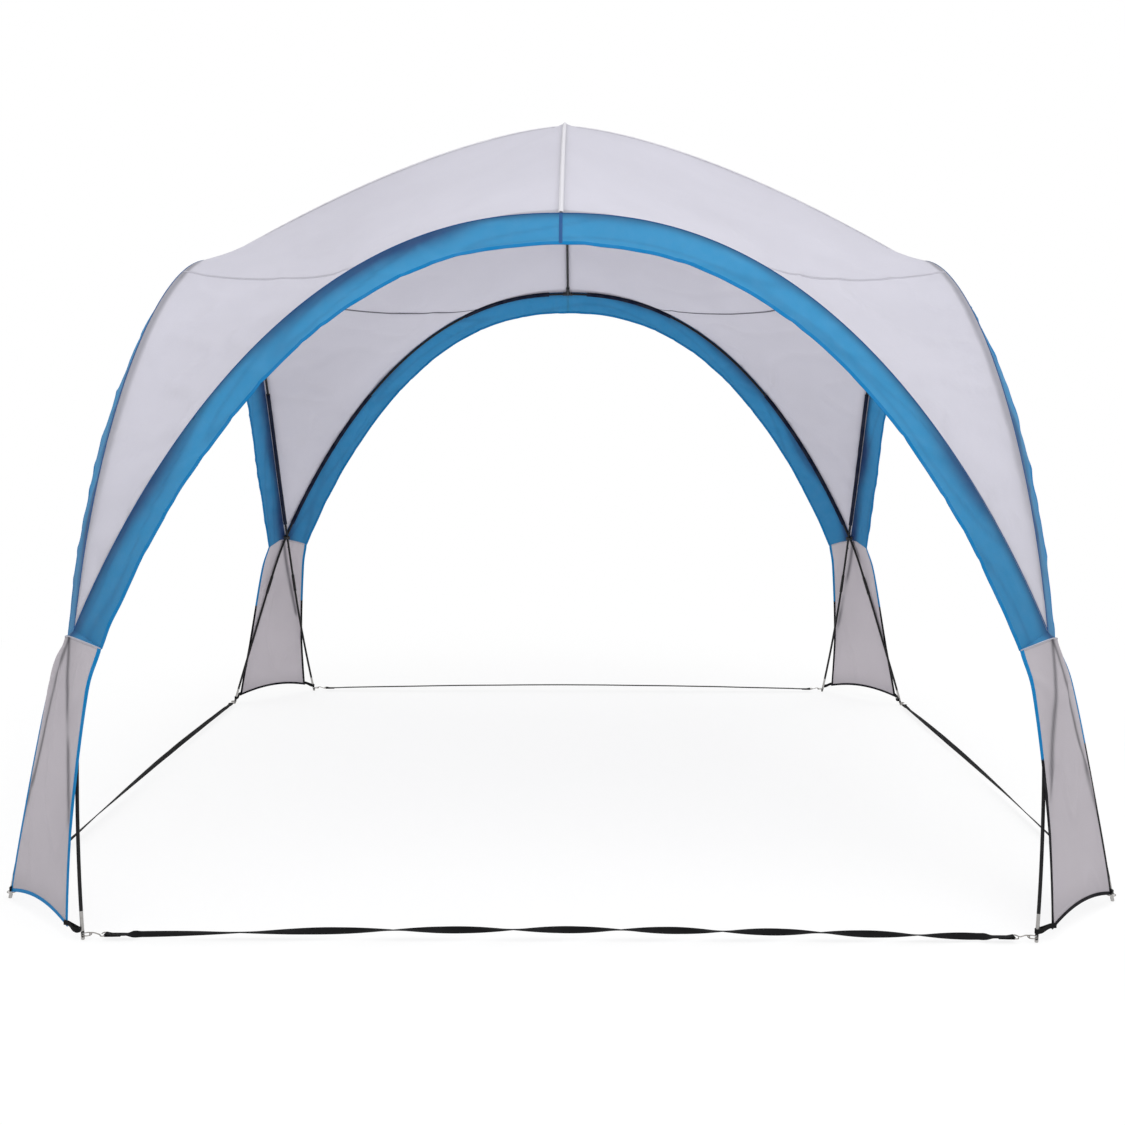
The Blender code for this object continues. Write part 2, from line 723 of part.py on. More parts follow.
def build():
    for old in list(bpy.data.objects):
        bpy.data.objects.remove(old)
    corners = ("front_right", "back_right", "back_left", "front_left")
    feet = (("left", "right"), ("front", "back"), ("right", "left"), ("back", "front"))
    for index, side in enumerate(SIDES):
        crown_pole(index)
        arch_hub(index)
        arch_band(index)
        ground_strap(index)
        roof_quadrant(index, f"{corners[index]}_roof_panel")
        leg_panel(index, corners[index])
        corner_tie(index, corners[index])
        corner_toggle(index, corners[index])
        for sign, foot in zip((-1, 1), feet[index]):
            leg_pole(index, sign, f"{side}_arch_{foot}_leg_pole")
            foot_ring(index, sign, f"{side}_arch_{foot}_foot_ring")
            strap_hook(index, sign, f"{side}_arch_{foot}_strap_hook")
    ridge_pole("long_ridge_pole", 0, 0.0)
    ridge_pole("cross_ridge_pole", 1, RIDGE_DROP)
    apex_clip()


build()
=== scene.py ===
"""Looks of the tarp shelter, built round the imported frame.

Metres, +Z up, the origin on the ground under the apex, the front at -Y. As in the frame, every arch
and every quarter of the cloth is worked out once, for the front, and turned in quarter turns.
"""

import json
import math

import bmesh
import bpy
import numpy as np
from mathutils import Matrix, Vector, noise


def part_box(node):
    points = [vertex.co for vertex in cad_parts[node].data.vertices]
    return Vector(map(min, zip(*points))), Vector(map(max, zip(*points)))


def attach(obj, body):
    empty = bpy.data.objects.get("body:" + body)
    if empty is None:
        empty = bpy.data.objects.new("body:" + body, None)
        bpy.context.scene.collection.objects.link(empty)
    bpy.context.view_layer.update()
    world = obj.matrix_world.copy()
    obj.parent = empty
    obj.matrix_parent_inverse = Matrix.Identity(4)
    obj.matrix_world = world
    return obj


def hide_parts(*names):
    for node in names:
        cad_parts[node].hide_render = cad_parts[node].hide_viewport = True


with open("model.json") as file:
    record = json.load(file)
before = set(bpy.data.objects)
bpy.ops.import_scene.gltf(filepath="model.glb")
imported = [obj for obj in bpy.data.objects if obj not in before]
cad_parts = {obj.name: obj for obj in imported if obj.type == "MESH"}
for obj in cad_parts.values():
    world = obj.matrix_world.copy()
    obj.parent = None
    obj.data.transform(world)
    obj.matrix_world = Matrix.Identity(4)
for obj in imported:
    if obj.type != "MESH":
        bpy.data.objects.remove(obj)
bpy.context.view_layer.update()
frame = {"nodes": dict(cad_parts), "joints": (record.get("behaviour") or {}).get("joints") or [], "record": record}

SIDES = ("front", "right", "back", "left")
CORNERS = ("front_right", "back_right", "back_left", "front_left")
FEET = (("left", "right"), ("front", "back"), ("right", "left"), ("back", "front"))
ROOT = "shelter"

# ---------------------------------------------------------------- dimensions read from the frame

MOUNTS = {m["name"]: Vector(m["pos_m"]) for m in frame["record"]["mounts"]}
JOINTS = {j["name"]: j for j in frame["joints"]}


def joint_place(name):
    return Vector(JOINTS[name]["pos_m"])


FRONT_FOOT = MOUNTS["front_arch_right_foot_rest"]
SIDE_FOOT = MOUNTS["right_arch_front_foot_rest"]
SPAN = (FRONT_FOOT.x - SIDE_FOOT.y) / 2
SEPARATION = (FRONT_FOOT.x + SIDE_FOOT.y) / 2
FOOT_INSET = (SIDE_FOOT.x - FRONT_FOOT.y) / 2
POLE_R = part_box("long_ridge_pole")[1].x
ARCH_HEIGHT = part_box("front_arch_crown_pole")[1].z - POLE_R
RIDGE_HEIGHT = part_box("long_ridge_pole")[1].z - POLE_R
RIDGE_DROP = RIDGE_HEIGHT - (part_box("cross_ridge_pole")[1].z - POLE_R)
RING_Z = joint_place("front_arch_right_ring_drop").z
EYE_END = joint_place("front_arch_right_hook_lift").y - joint_place("front_arch_right_ring_drop").y
CLOTH = 0.0012          # thickness of every sheet of cloth
CLOTH_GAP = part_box("front_right_roof_panel")[1].z - RIDGE_HEIGHT - CLOTH / 2
HUB_R = ARCH_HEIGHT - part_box("front_arch_hub")[0].z

# Shape of the bent poles and of the cloth, as in the frame
BOW_LINEAR = 0.142
BOW_SQUARE = -0.066
RISE_POWER = 1.300
SPREAD_POWER = 2.230
RIDGE_POWER = 1.52
STRAIGHT_LOW = 0.56
STRAIGHT_TOP = 0.72
SEAM_TILT = math.radians(33)
BAND_WIDTH = 0.120
BAND_FLARE = math.radians(33)
END_GROWTH = 0.010
END_UNFLARE = math.radians(5)
END_POWER = 4
BAND_TO_PANEL = np.array((0, 0, 0.002))
MEET_POWER = 6
LEG_BOW = 0.28
LEG_BOW_POWER = 4
PANEL_GAP = 0.0175
FOOT_GAP = 0.0080
PANEL_BOTTOM = 0.022
PANEL_HOLLOW = 0.030
PANEL_PEAK = 0.028
PANEL_SWELL = 0.036
NARROW_Z = 0.30
NARROW_PAST = 0.05
FOOT_PAST = -0.35

OUTWARD = np.array((0.0, -1.0, 0.0))
UP = np.array((0.0, 0.0, 1.0))
LEVEL = np.array((1.0, 1.0, 0.0))       # times a vector, its level part
CORNER_OUT = np.array((1.0, -1.0, 0.0)) / math.sqrt(2)
CORNER_ACROSS = np.array((1.0, 1.0, 0.0)) / math.sqrt(2)


# ---------------------------------------------------------------- curves of the frame

def bow_spread(z, span):
    inner = np.maximum(0, 1 - (np.asarray(z, float) / ARCH_HEIGHT) ** RISE_POWER)
    return span * inner ** (1 / SPREAD_POWER)


def plane_offset(z):
    return FOOT_INSET + BOW_LINEAR * z + BOW_SQUARE * z * z


def find_crossing():
    """Height at which two neighbouring arches cross, by bisection."""
    low, high = 0.3, 1.5
    for _ in range(50):
        middle = (low + high) / 2
        if bow_spread(middle, SPAN) > plane_offset(middle):
            low = middle
        else:
            high = middle
    return low


CROSS_Z = find_crossing()
REACH = plane_offset(ARCH_HEIGHT)
TOP_STEP = math.sqrt(1 - CROSS_Z / ARCH_HEIGHT)


def half_spread(z, span):
    """Distance of an arch pole from the middle of its arch; its legs bow less than the rest."""
    z = np.asarray(z, float)
    bowed = bow_spread(z, span)
    straight = span + (bow_spread(CROSS_Z, span) - span) * z / CROSS_Z
    kept = LEG_BOW + (1 - LEG_BOW) * (z / CROSS_Z) ** LEG_BOW_POWER
    return np.where(z < CROSS_Z, straight + kept * (bowed - straight), bowed)


def arch_points(z, separation, side=1):
    """Points of the front arch at heights z, on its right half (side 1) or left half (side -1)."""
    z = np.asarray(z, float)
    spread = half_spread(z, SPAN + separation)
    return np.stack([side * spread, -plane_offset(z) - separation, z], -1)


def crown_curve(s, separation):
    """Points of the front arch's crown; s runs from -1 at the left crossing to 1 at the right one."""
    z = ARCH_HEIGHT * (1 - (TOP_STEP * np.abs(s)) ** 2)
    points = arch_points(z, separation)
    points[..., 0] *= np.sign(s)
    return points


def unit(vectors):
    return vectors / np.linalg.norm(vectors, axis=-1, keepdims=True)


def inward_normals(points):
    """For points along the front arch, the direction in its plane towards the opening."""
    across = unit(np.cross(unit(np.gradient(points, axis=0)), OUTWARD))
    return np.where(across[:, 2:3] < 0, across, -across)


def ridge_points(y, drop=0.0):
    y = np.asarray(y, float)
    rise = (RIDGE_HEIGHT - drop - ARCH_HEIGHT) * (1 - (np.abs(y) / REACH) ** RIDGE_POWER)
    return np.stack([0 * y, y, ARCH_HEIGHT + rise], -1)


def turned(points, index):
    """Points of the front carried to side number index, in quarter turns about the middle."""
    c, s = ((1, 0), (0, 1), (-1, 0), (0, -1))[index % 4]
    x, y, z = points[..., 0], points[..., 1], points[..., 2]
    return np.stack([c * x - s * y, s * x + c * y, z], -1)


def mirrored(points):
    return points * np.array((-1.0, 1.0, 1.0))


def corner_legs(z, separation):
    """The two poles of the front right corner at heights z: the front arch's and the right arch's."""
    return arch_points(z, separation), turned(arch_points(z, -separation, -1), 1)


def separation_of(index):
    return SEPARATION if index % 2 == 0 else -SEPARATION


def smooth(x):
    x = np.clip(x, 0, 1)
    return x * x * (3 - 2 * x)


# ---------------------------------------------------------------- mesh helpers

def make_mesh(name, points, faces, uv=None, tone=None, sharp=45):
    mesh = bpy.data.meshes.new(name)
    mesh.from_pydata([tuple(p) for p in points], [], [tuple(f) for f in faces])
    mesh.polygons.foreach_set("use_smooth", [True] * len(mesh.polygons))
    if uv is not None:
        corners = np.empty(len(mesh.loops), np.int32)
        mesh.loops.foreach_get("vertex_index", corners)
        layer = mesh.uv_layers.new(name="cloth")
        layer.data.foreach_set("uv", np.asarray(uv, np.float32)[corners].ravel())
    if tone is not None:
        layer = mesh.attributes.new("tone", "FLOAT", "POINT")
        layer.data.foreach_set("value", np.asarray(tone, np.float32))
    mesh.set_sharp_from_angle(angle=math.radians(sharp))
    mesh.update()
    return mesh


def piece(mesh, look, body=ROOT, replaces=()):
    """A visible piece, named as its mesh: it rides on a body, and may stand for CAD nodes."""
    made = bpy.data.objects.new(mesh.name, mesh)
    bpy.context.scene.collection.objects.link(made)
    made.data.materials.append(LOOKS[look])
    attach(made, body)
    if replaces:
        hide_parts(*replaces)
    return made


def grid_faces(rows, columns, start=0, wrap=False):
    faces = []
    last = columns if wrap else columns - 1
    for j in range(rows - 1):
        for i in range(last):
            a = start + j * columns + i
            b = start + j * columns + (i + 1) % columns
            faces.append((a, b, b + columns, a + columns))
    return faces


def grid_normals(grid):
    return unit(np.cross(np.gradient(grid, axis=1), np.gradient(grid, axis=0)))


def grid_lengths(grid):
    """Distance along the rows and down the columns of a grid, in metres."""
    along = np.linalg.norm(np.diff(grid, axis=1), axis=-1)
    down = np.linalg.norm(np.diff(grid, axis=0), axis=-1)
    u = np.concatenate([np.zeros((len(grid), 1)), np.cumsum(along, axis=1)], axis=1)
    v = np.concatenate([np.zeros((1, grid.shape[1])), np.cumsum(down, axis=0)], axis=0)
    return np.stack([u, v], -1)


def sheet_mesh(name, grid, thickness=CLOTH, uv=None, tone=None, bulge=None):
    """A closed thin solid round a grid of points. bulge thickens it outwards, point by point."""
    rows, columns = grid.shape[:2]
    normals = grid_normals(grid)
    up = thickness / 2 + (0 if bulge is None else bulge)
    up = np.broadcast_to(up, grid.shape[:2])[..., None]
    upper = (grid + normals * up).reshape(-1, 3)
    lower = (grid - normals * thickness / 2).reshape(-1, 3)
    count = rows * columns
    top = grid_faces(rows, columns)
    faces = [f[::-1] for f in top]
    faces += [tuple(i + count for i in f) for f in top]
    border = list(range(columns))
    border += [j * columns + columns - 1 for j in range(1, rows)]
    border += [(rows - 1) * columns + i for i in range(columns - 2, -1, -1)]
    border += [j * columns for j in range(rows - 2, 0, -1)]
    for a, b in zip(border, border[1:] + border[:1]):
        faces.append((a, b, b + count, a + count))
    if uv is None:
        uv = grid_lengths(grid)
    uv = np.concatenate([uv.reshape(-1, 2)] * 2)
    if tone is not None:
        tone = np.concatenate([tone.reshape(-1)] * 2)
    return make_mesh(name, np.concatenate([upper, lower]), faces, uv, tone)


def frames_along(points, closed=False):
    """Two unit vectors across a curve at each of its points, carried along it without twisting."""
    if closed:
        tangents = unit(np.roll(points, -1, axis=0) - np.roll(points, 1, axis=0))
    else:
        tangents = unit(np.gradient(points, axis=0))
    side = np.array(Vector(tangents[0]).orthogonal().normalized())
    sides = []
    for tangent in tangents:
        side = side - side.dot(tangent) * tangent
        side /= np.linalg.norm(side)
        sides.append(side.copy())
    sides = np.array(sides)
    return sides, np.cross(tangents, sides)


def tube_mesh(name, points, radii, sides=14, closed=False, tone=None):
    """A tube round a curve, capped at its ends, or joined into a ring where closed."""
    points = np.asarray(points, float)
    count = len(points)
    radii = np.broadcast_to(radii, (count,))
    first, second = frames_along(points, closed)
    if closed:
        first, second = untwisted(points, first, second)
    angles = np.linspace(0, 2 * math.pi, sides, endpoint=False)
    length = np.concatenate([[0], np.cumsum(np.linalg.norm(np.diff(points, axis=0), axis=1))])
    rings, uv = [], []
    for k in range(count):
        offset = np.outer(np.cos(angles), first[k]) + np.outer(np.sin(angles), second[k])
        rings.append(points[k] + offset * radii[k])
        uv.append(np.stack([np.full(sides, length[k]), angles * radii[k]], -1))
    rings = np.concatenate(rings)
    faces = grid_faces(count, sides, wrap=True)
    if closed:
        last = (count - 1) * sides
        faces += [(last + i, last + (i + 1) % sides, (i + 1) % sides, i) for i in range(sides)]
    else:
        faces.append(tuple(range(sides))[::-1])
        faces.append(tuple(range((count - 1) * sides, count * sides)))
    if tone is not None:
        tone = np.repeat(tone, sides)
    return make_mesh(name, rings, faces, np.concatenate(uv), tone)


def untwisted(points, first, second):
    """Spreads the turn that is left where a closed curve meets its start."""
    tangent = unit(np.roll(points, -1, axis=0) - np.roll(points, 1, axis=0))[0]
    ending = first[-1] - first[-1].dot(tangent) * tangent
    left = math.atan2(np.cross(ending, first[0]).dot(tangent), ending.dot(first[0]))
    angle = np.linspace(0, left, len(points))[:, None]
    return (first * np.cos(angle) + second * np.sin(angle),
            second * np.cos(angle) - first * np.sin(angle))


def resampled(points, count):
    """The curve through points, at equal distances along it."""
    points = np.asarray(points, float)
    steps = np.linalg.norm(np.diff(points, axis=0), axis=1)
    length = np.concatenate([[0], np.cumsum(steps)])
    wanted = np.linspace(0, length[-1], count)
    return np.stack([np.interp(wanted, length, points[:, i]) for i in range(3)], -1)


def rounded(points, rounds=2):
    """Cuts the corners of an open curve, for bent wire."""
    points = np.asarray(points, float)
    for _ in range(rounds):
        near = points[:-1] * 0.75 + points[1:] * 0.25
        far = points[:-1] * 0.25 + points[1:] * 0.75
        middle = np.stack([near, far], 1).reshape(-1, 3)
        points = np.concatenate([points[:1], middle[1:-1], points[-1:]])
    return points


def ripple(points, scale, seed, stretch=(1, 1, 1)):
    """Smooth noise between about -1 and 1 at each point, with waves about scale long."""
    flat = (np.asarray(points).reshape(-1, 3) * np.array(stretch) / scale) + seed * 17.3
    values = [noise.noise(Vector(p)) for p in flat]
    return np.array(values).reshape(np.asarray(points).shape[:-1])


def creases(points, scale, seed, stretch=(1, 1, 1)):
    """Narrow folds: a noise that is flat except along thin lines, where it nears 1."""
    field = np.abs(ripple(points, scale, seed, stretch))
    return np.exp(-(field / 0.075) ** 2)


# ---------------------------------------------------------------- materials

WHITE = (1.0, 1.0, 1.0, 1.0)


class Graph:
    """The nodes of a new material, or of a given world. add() makes one and joins or sets its inputs."""

    def __init__(self, name, world=None):
        self.owner = world or bpy.data.materials.new(name)
        self.owner.use_nodes = True
        self.tree = self.owner.node_tree
        self.tree.nodes.clear()

    def add(self, kind, inputs=None, **settings):
        made = self.tree.nodes.new("ShaderNode" + kind)
        for key, value in settings.items():
            setattr(made, key, value)
        for key, value in (inputs or {}).items():
            if isinstance(value, bpy.types.NodeSocket):
                self.tree.links.new(value, made.inputs[key])
            else:
                made.inputs[key].default_value = value
        return made

    def math(self, operation, first, second=0.0, third=0.0):
        node = self.add("Math", {0: first, 1: second, 2: third}, operation=operation)
        return node.outputs[0]

    def mix(self, share, first, second):
        inputs = {"Factor": share, 6: first, 7: second}
        return self.add("Mix", inputs, data_type="RGBA").outputs[2]

    def ramp(self, value, low, high, to_low=0.0, to_high=1.0):
        inputs = {0: value, 1: low, 2: high, 3: to_low, 4: to_high}
        return self.add("MapRange", inputs, clamp=True).outputs[0]

    def noise(self, scale, detail, vector=None):
        if vector is None:
            vector = self.add("NewGeometry").outputs["Position"]
        inputs = {"Scale": scale, "Detail": detail, "Vector": vector}
        return self.add("TexNoise", inputs).outputs["Fac"]

    def uv(self):
        split = self.add("SeparateXYZ", {0: self.add("UVMap", uv_map="cloth").outputs[0]})
        return split.outputs[0], split.outputs[1]

    def wave(self, value, pitch):
        """1 on the middle of each thread and 0 between two threads."""
        turns = self.math("MULTIPLY", value, 2 * math.pi / pitch)
        return self.math("MULTIPLY_ADD", self.math("SINE", turns), 0.5, 0.5)

    def line(self, value, at, half):
        """1 within half of at, else 0."""
        distance = self.math("ABSOLUTE", self.math("SUBTRACT", value, at))
        return self.math("LESS_THAN", distance, half)

    def tone(self):
        return self.add("Attribute", attribute_name="tone").outputs["Fac"]

    def bump(self, height, strength, distance, normal=None):
        inputs = {"Height": height, "Strength": strength, "Distance": distance}
        if normal is not None:
            inputs["Normal"] = normal
        return self.add("Bump", inputs).outputs[0]

    def finish(self, shader):
        self.add("OutputMaterial", {"Surface": shader})
        return self.owner


def rgb(red, green, blue):
    """A colour from screen values of 0 to 255."""
    def linear(value):
        value /= 255
        return value / 12.92 if value <= 0.04045 else ((value + 0.055) / 1.055) ** 2.4
    return (linear(red), linear(green), linear(blue), 1.0)


STITCH = 0.0042         # length of a stitch with its gap
STITCH_IN = 0.005       # from the edge of the cloth
THREAD_R = 0.0006


def cloth_look(name, colour, dark, through, pitch=0.0013, sheen=0.12):
    """Coated woven cloth. It darkens where tone is high, and is stitched beside its edge."""
    g = Graph(name)
    u, v = g.uv()
    warp = g.wave(u, pitch)
    weft = g.wave(v, pitch)
    weave = g.math("MULTIPLY", g.math("ADD", warp, weft), 0.5)
    stain = g.noise(1.7, 4.0)
    mottle = g.noise(23.0, 3.0)
    fibre = g.noise(900.0, 1.0)
    base = g.mix(g.ramp(g.tone(), 0.0, 1.0), colour, dark)
    base = g.mix(g.ramp(stain, 0.35, 0.75, 0.0, 0.10), base, dark)
    base = g.mix(g.ramp(mottle, 0.35, 0.70, 0.0, 0.01875), base, WHITE)
    base = g.mix(g.ramp(weave, 0.0, 0.45, 0.10, 0.0), base, dark)
    # Lock stitches: short dashes in a row beside the sewn edge
    dash = g.math("LESS_THAN", g.math("FRACT", g.math("DIVIDE", u, STITCH)), 0.66)
    thread = g.math("MULTIPLY", g.line(v, STITCH_IN, THREAD_R), dash)
    base = g.mix(g.math("MULTIPLY", thread, 0.55), base, dark)
    height = g.math("ADD", g.math("MULTIPLY", weave, 0.6), g.math("MULTIPLY", fibre, 0.4))
    height = g.math("ADD", height, g.math("MULTIPLY", thread, 1.5))
    normal = g.bump(height, 0.25, 0.0004, g.bump(g.noise(60.0, 4.0), 0.10, 0.004))
    rough = g.ramp(mottle, 0.2, 0.8, 0.62, 0.80)
    solid = g.add("BsdfPrincipled", {
        "Base Color": base, "Roughness": rough, "Normal": normal,
        "Specular IOR Level": 1.5 * sheen, "Sheen Weight": sheen, "Sheen Roughness": 0.5,
    })
    back = g.add("BsdfTranslucent", {"Color": base, "Normal": normal})
    mixed = g.add("MixShader", {0: through, 1: solid.outputs[0], 2: back.outputs[0]})
    return g.finish(mixed.outputs[0])


def webbing_look(name, colour, light):
    """Woven webbing: slanted ribs that meet along its middle, in lanes, with patches of dust."""
    g = Graph(name)
    u, v = g.uv()
    slant = g.math("ADD", u, g.math("ABSOLUTE", v))
    rib = g.wave(slant, 0.0022)
    lane = g.wave(v, 0.0035)
    weave = g.math("MULTIPLY", rib, g.math("MULTIPLY_ADD", lane, 0.5, 0.5))
    dust = g.ramp(g.noise(14.0, 5.0), 0.45, 0.75, 0.0, 0.35)
    base = g.mix(g.math("MULTIPLY", weave, 0.22), colour, light)
    base = g.mix(g.math("MULTIPLY", dust, 0.30), base, light)
    normal = g.bump(weave, 0.7, 0.0005)
    shader = g.add("BsdfPrincipled", {
        "Base Color": base, "Roughness": 0.78, "Normal": normal,
        "Specular IOR Level": 0.12, "Sheen Weight": 0.02,
    })
    return g.finish(shader.outputs[0])


def pole_look(name, colour, tip):
    """Smooth black rod with faint lengthwise fibres and scuffs; tone marks its bright metal tip."""
    g = Graph(name)
    u, v = g.uv()
    drawn_out = {0: g.math("MULTIPLY", u, 6.0), 1: g.math("MULTIPLY", v, 900.0)}
    streak = g.noise(1.0, 3.0, g.add("CombineXYZ", drawn_out).outputs[0])
    metal = g.math("GREATER_THAN", g.tone(), 0.5)
    scuff = g.ramp(g.noise(70.0, 5.0), 0.55, 0.72)
    light = g.mix(0.5, colour, (0.06, 0.06, 0.065, 1))
    base = g.mix(g.math("MULTIPLY", g.ramp(streak, 0.4, 0.8), 0.30), colour, light)
    base = g.mix(g.math("MULTIPLY", scuff, 0.25), base, light)
    dull = g.mix(g.math("MULTIPLY", scuff, 0.5), tip, (0.30, 0.29, 0.28, 1))
    base = g.mix(metal, base, dull)
    rough = g.ramp(g.noise(45.0, 4.0), 0.3, 0.7, 0.24, 0.42)
    shader = g.add("BsdfPrincipled", {
        "Base Color": base, "Roughness": rough, "Metallic": metal,
        "Normal": g.bump(streak, 0.12, 0.0004), "Specular IOR Level": 0.22,
    })
    return g.finish(shader.outputs[0])


def steel_look(name, colour, dark):
    """Zinc-plated wire: drawn lines along it, cloudy plating and dark specks."""
    g = Graph(name)
    cloud = g.noise(160.0, 4.0)
    speck = g.ramp(g.noise(700.0, 2.0), 0.62, 0.72)
    drawn = g.wave(g.uv()[1], 0.0007)
    base = g.mix(g.ramp(cloud, 0.35, 0.7, 0.0, 0.6), colour, dark)
    base = g.mix(g.math("MULTIPLY", speck, 0.5), base, (0.12, 0.10, 0.08, 1))
    rough = g.ramp(cloud, 0.3, 0.7, 0.22, 0.45)
    shader = g.add("BsdfPrincipled", {
        "Base Color": base, "Roughness": rough, "Metallic": 1.0,
        "Normal": g.bump(g.math("ADD", drawn, cloud), 0.2, 0.0002),
    })
    return g.finish(shader.outputs[0])


def plastic_look(name, colour, light):
    """Moulded black plastic with a fine spark-eroded grain, paler where it is rubbed."""
    g = Graph(name)
    grain = g.noise(1400.0, 2.0)
    rub = g.ramp(g.noise(90.0, 4.0), 0.5, 0.75)
    base = g.mix(g.math("MULTIPLY", rub, 0.35), colour, light)
    rough = g.ramp(grain, 0.3, 0.7, 0.42, 0.62)
    shader = g.add("BsdfPrincipled", {
        "Base Color": base, "Roughness": rough, "Normal": g.bump(grain, 0.25, 0.0003),
    })
    return g.finish(shader.outputs[0])


def cord_look(name, colour, light):
    """Braided elastic cord: two sets of strands that wind opposite ways."""
    g = Graph(name)
    u, v = g.uv()
    left = g.wave(g.math("ADD", u, v), 0.0016)
    right = g.wave(g.math("SUBTRACT", u, v), 0.0016)
    braid = g.math("MAXIMUM", left, right)
    base = g.mix(g.ramp(braid, 0.5, 1.0, 0.0, 0.35), colour, light)
    shader = g.add("BsdfPrincipled", {
        "Base Color": base, "Roughness": 0.7, "Normal": g.bump(braid, 0.8, 0.0004),
        "Sheen Weight": 0.2,
    })
    return g.finish(shader.outputs[0])


FLOOR_NEAR = 2.4
FLOOR_FAR = 5.0


def floor_look():
    """Pale matt floor that lights itself, and runs into the backdrop's white a few metres away."""
    g = Graph("floor")
    place = g.add("NewGeometry").outputs["Position"]
    distance = g.add("VectorMath", {0: place}, operation="LENGTH").outputs["Value"]
    pale = g.mix(g.noise(2.0, 3.0), (0.93, 0.93, 0.93, 1), (0.97, 0.97, 0.97, 1))
    matt = g.add("BsdfDiffuse", {"Color": pale})
    bright = g.add("Emission", {"Color": WHITE, "Strength": 1.0})
    share = g.ramp(distance, FLOOR_NEAR, FLOOR_FAR, 0.80, 1.0)
    mixed = g.add("MixShader", {0: share, 1: matt.outputs[0], 2: bright.outputs[0]})
    return g.finish(mixed.outputs[0])


# Each cloth: its colour, its dark colour, the share of light it lets through, and, where they aren't
# the usual ones, the pitch of its threads and its sheen
CLOTHS = {
    "roof_fabric": (rgb(224, 223, 230), rgb(150, 148, 158), 0.56),
    "ridge_tape": (rgb(228, 227, 232), rgb(170, 168, 176), 0.30),
    "seam_tape": (rgb(104, 104, 112), rgb(80, 80, 88), 0.1),
    "band_fabric": (rgb(74, 168, 212), rgb(50, 86, 138), 0.48),
    "band_seam": (rgb(44, 92, 148), rgb(30, 64, 108), 0.2, 0.0013, 0.05),
    "piping": (rgb(12, 124, 184), rgb(10, 84, 140), 0.15, 0.0010, 0.05),
    "binding": (rgb(12, 124, 184), rgb(12, 11, 18), 0.08, 0.0010, 0.03),
    "leg_fabric": (rgb(217, 213, 217), rgb(126, 123, 130), 0.66),
    "black_binding": (rgb(16, 15, 22), rgb(8, 8, 12), 0.03, 0.0010, 0.02),
    "sleeve": (rgb(16, 24, 46), rgb(8, 11, 24), 0.08, 0.0013, 0.03),
}
LOOKS = {name: cloth_look(name, *values) for name, values in CLOTHS.items()}
LOOKS |= {
    "webbing": webbing_look("webbing", (0.003, 0.003, 0.0035, 1), (0.035, 0.035, 0.037, 1)),
    "pole": pole_look("pole", (0.004, 0.004, 0.0045, 1), (0.42, 0.41, 0.40, 1)),
    "steel": steel_look("steel", (0.40, 0.38, 0.36, 1), (0.13, 0.12, 0.11, 1)),
    "hub": plastic_look("hub", (0.006, 0.006, 0.007, 1), (0.05, 0.05, 0.05, 1)),
    "cord": cord_look("cord", (0.005, 0.005, 0.006, 1), (0.06, 0.06, 0.06, 1)),
}


# ---------------------------------------------------------------- cloth surfaces

ROOF_STEPS = 84
ROOF_ROUNDS = 9000      # of averaging, by when the cloth hardly moves
SEAM_FLAT = 0.009       # middle and half width of the painted shadow of the arch pole, a darker strip beside an arch's seam
SEAM_SHADE = 0.010
PANEL_SEAM = 0.75       # the corner seam of the roof starts at this share of each arch
SEAM_BOW = 0.045        # and bows towards the ridges by this share
SEAM_ENDS = (0.004, 0.996)

# The two layers of the corner seam, as (name, lift off the cloth, look, half width)
CORNER_SEAM = (
    ("lap", 0.0011, "roof_fabric", 0.0050),
    ("tape", -0.0011, "seam_tape", 0.0024),
)
SEAM_SHARE_LENGTH = 2.1         # metres of cloth from a seam to a ridge, about
ROOF_BUNCH = 0.0022     # heights of the roof's folds
ROOF_SLACK = 0.0060
ROOF_PULL = 0.0080
ROOF_FINE = 0.0010
PUCKER = 0.0010
PUCKER_PITCH = 0.045
RIDGE_SLEEVE_HALF = 0.0068
RIDGE_SLEEVE_CROWN = 0.0030
RIDGE_SLEEVE_LIFT = 0.0014


def towards_seam(inwards):
    """Directions from the front arch's pole to the seam that lies over it."""
    return -math.cos(SEAM_TILT) * inwards + math.sin(SEAM_TILT) * OUTWARD


def seam_curve(s):
    """The seam between roof and band over the front arch, and the directions into its opening."""
    points = crown_curve(s, SEPARATION)
    inwards = inward_normals(points)
    return points + CLOTH_GAP * towards_seam(inwards), inwards


def ridge_cloth_curve(share):
    """The roof over the long ridge pole, from the front arch's seam (0) to the apex (1)."""
    y = -REACH * (1 - share)
    near = 0.01
    step = ridge_points(np.minimum(0.0, y + near)) - ridge_points(y - near)
    normal = unit(np.cross(np.array((1.0, 0.0, 0.0)), step))
    points = ridge_points(y) + CLOTH_GAP * normal
    top = seam_curve(np.array((-0.002, 0.0, 0.002)))[0][1]
    points += np.outer((1 - share) ** MEET_POWER, top - points[0])
    points[-1] = (0, 0, RIDGE_HEIGHT + CLOTH_GAP)
    return points


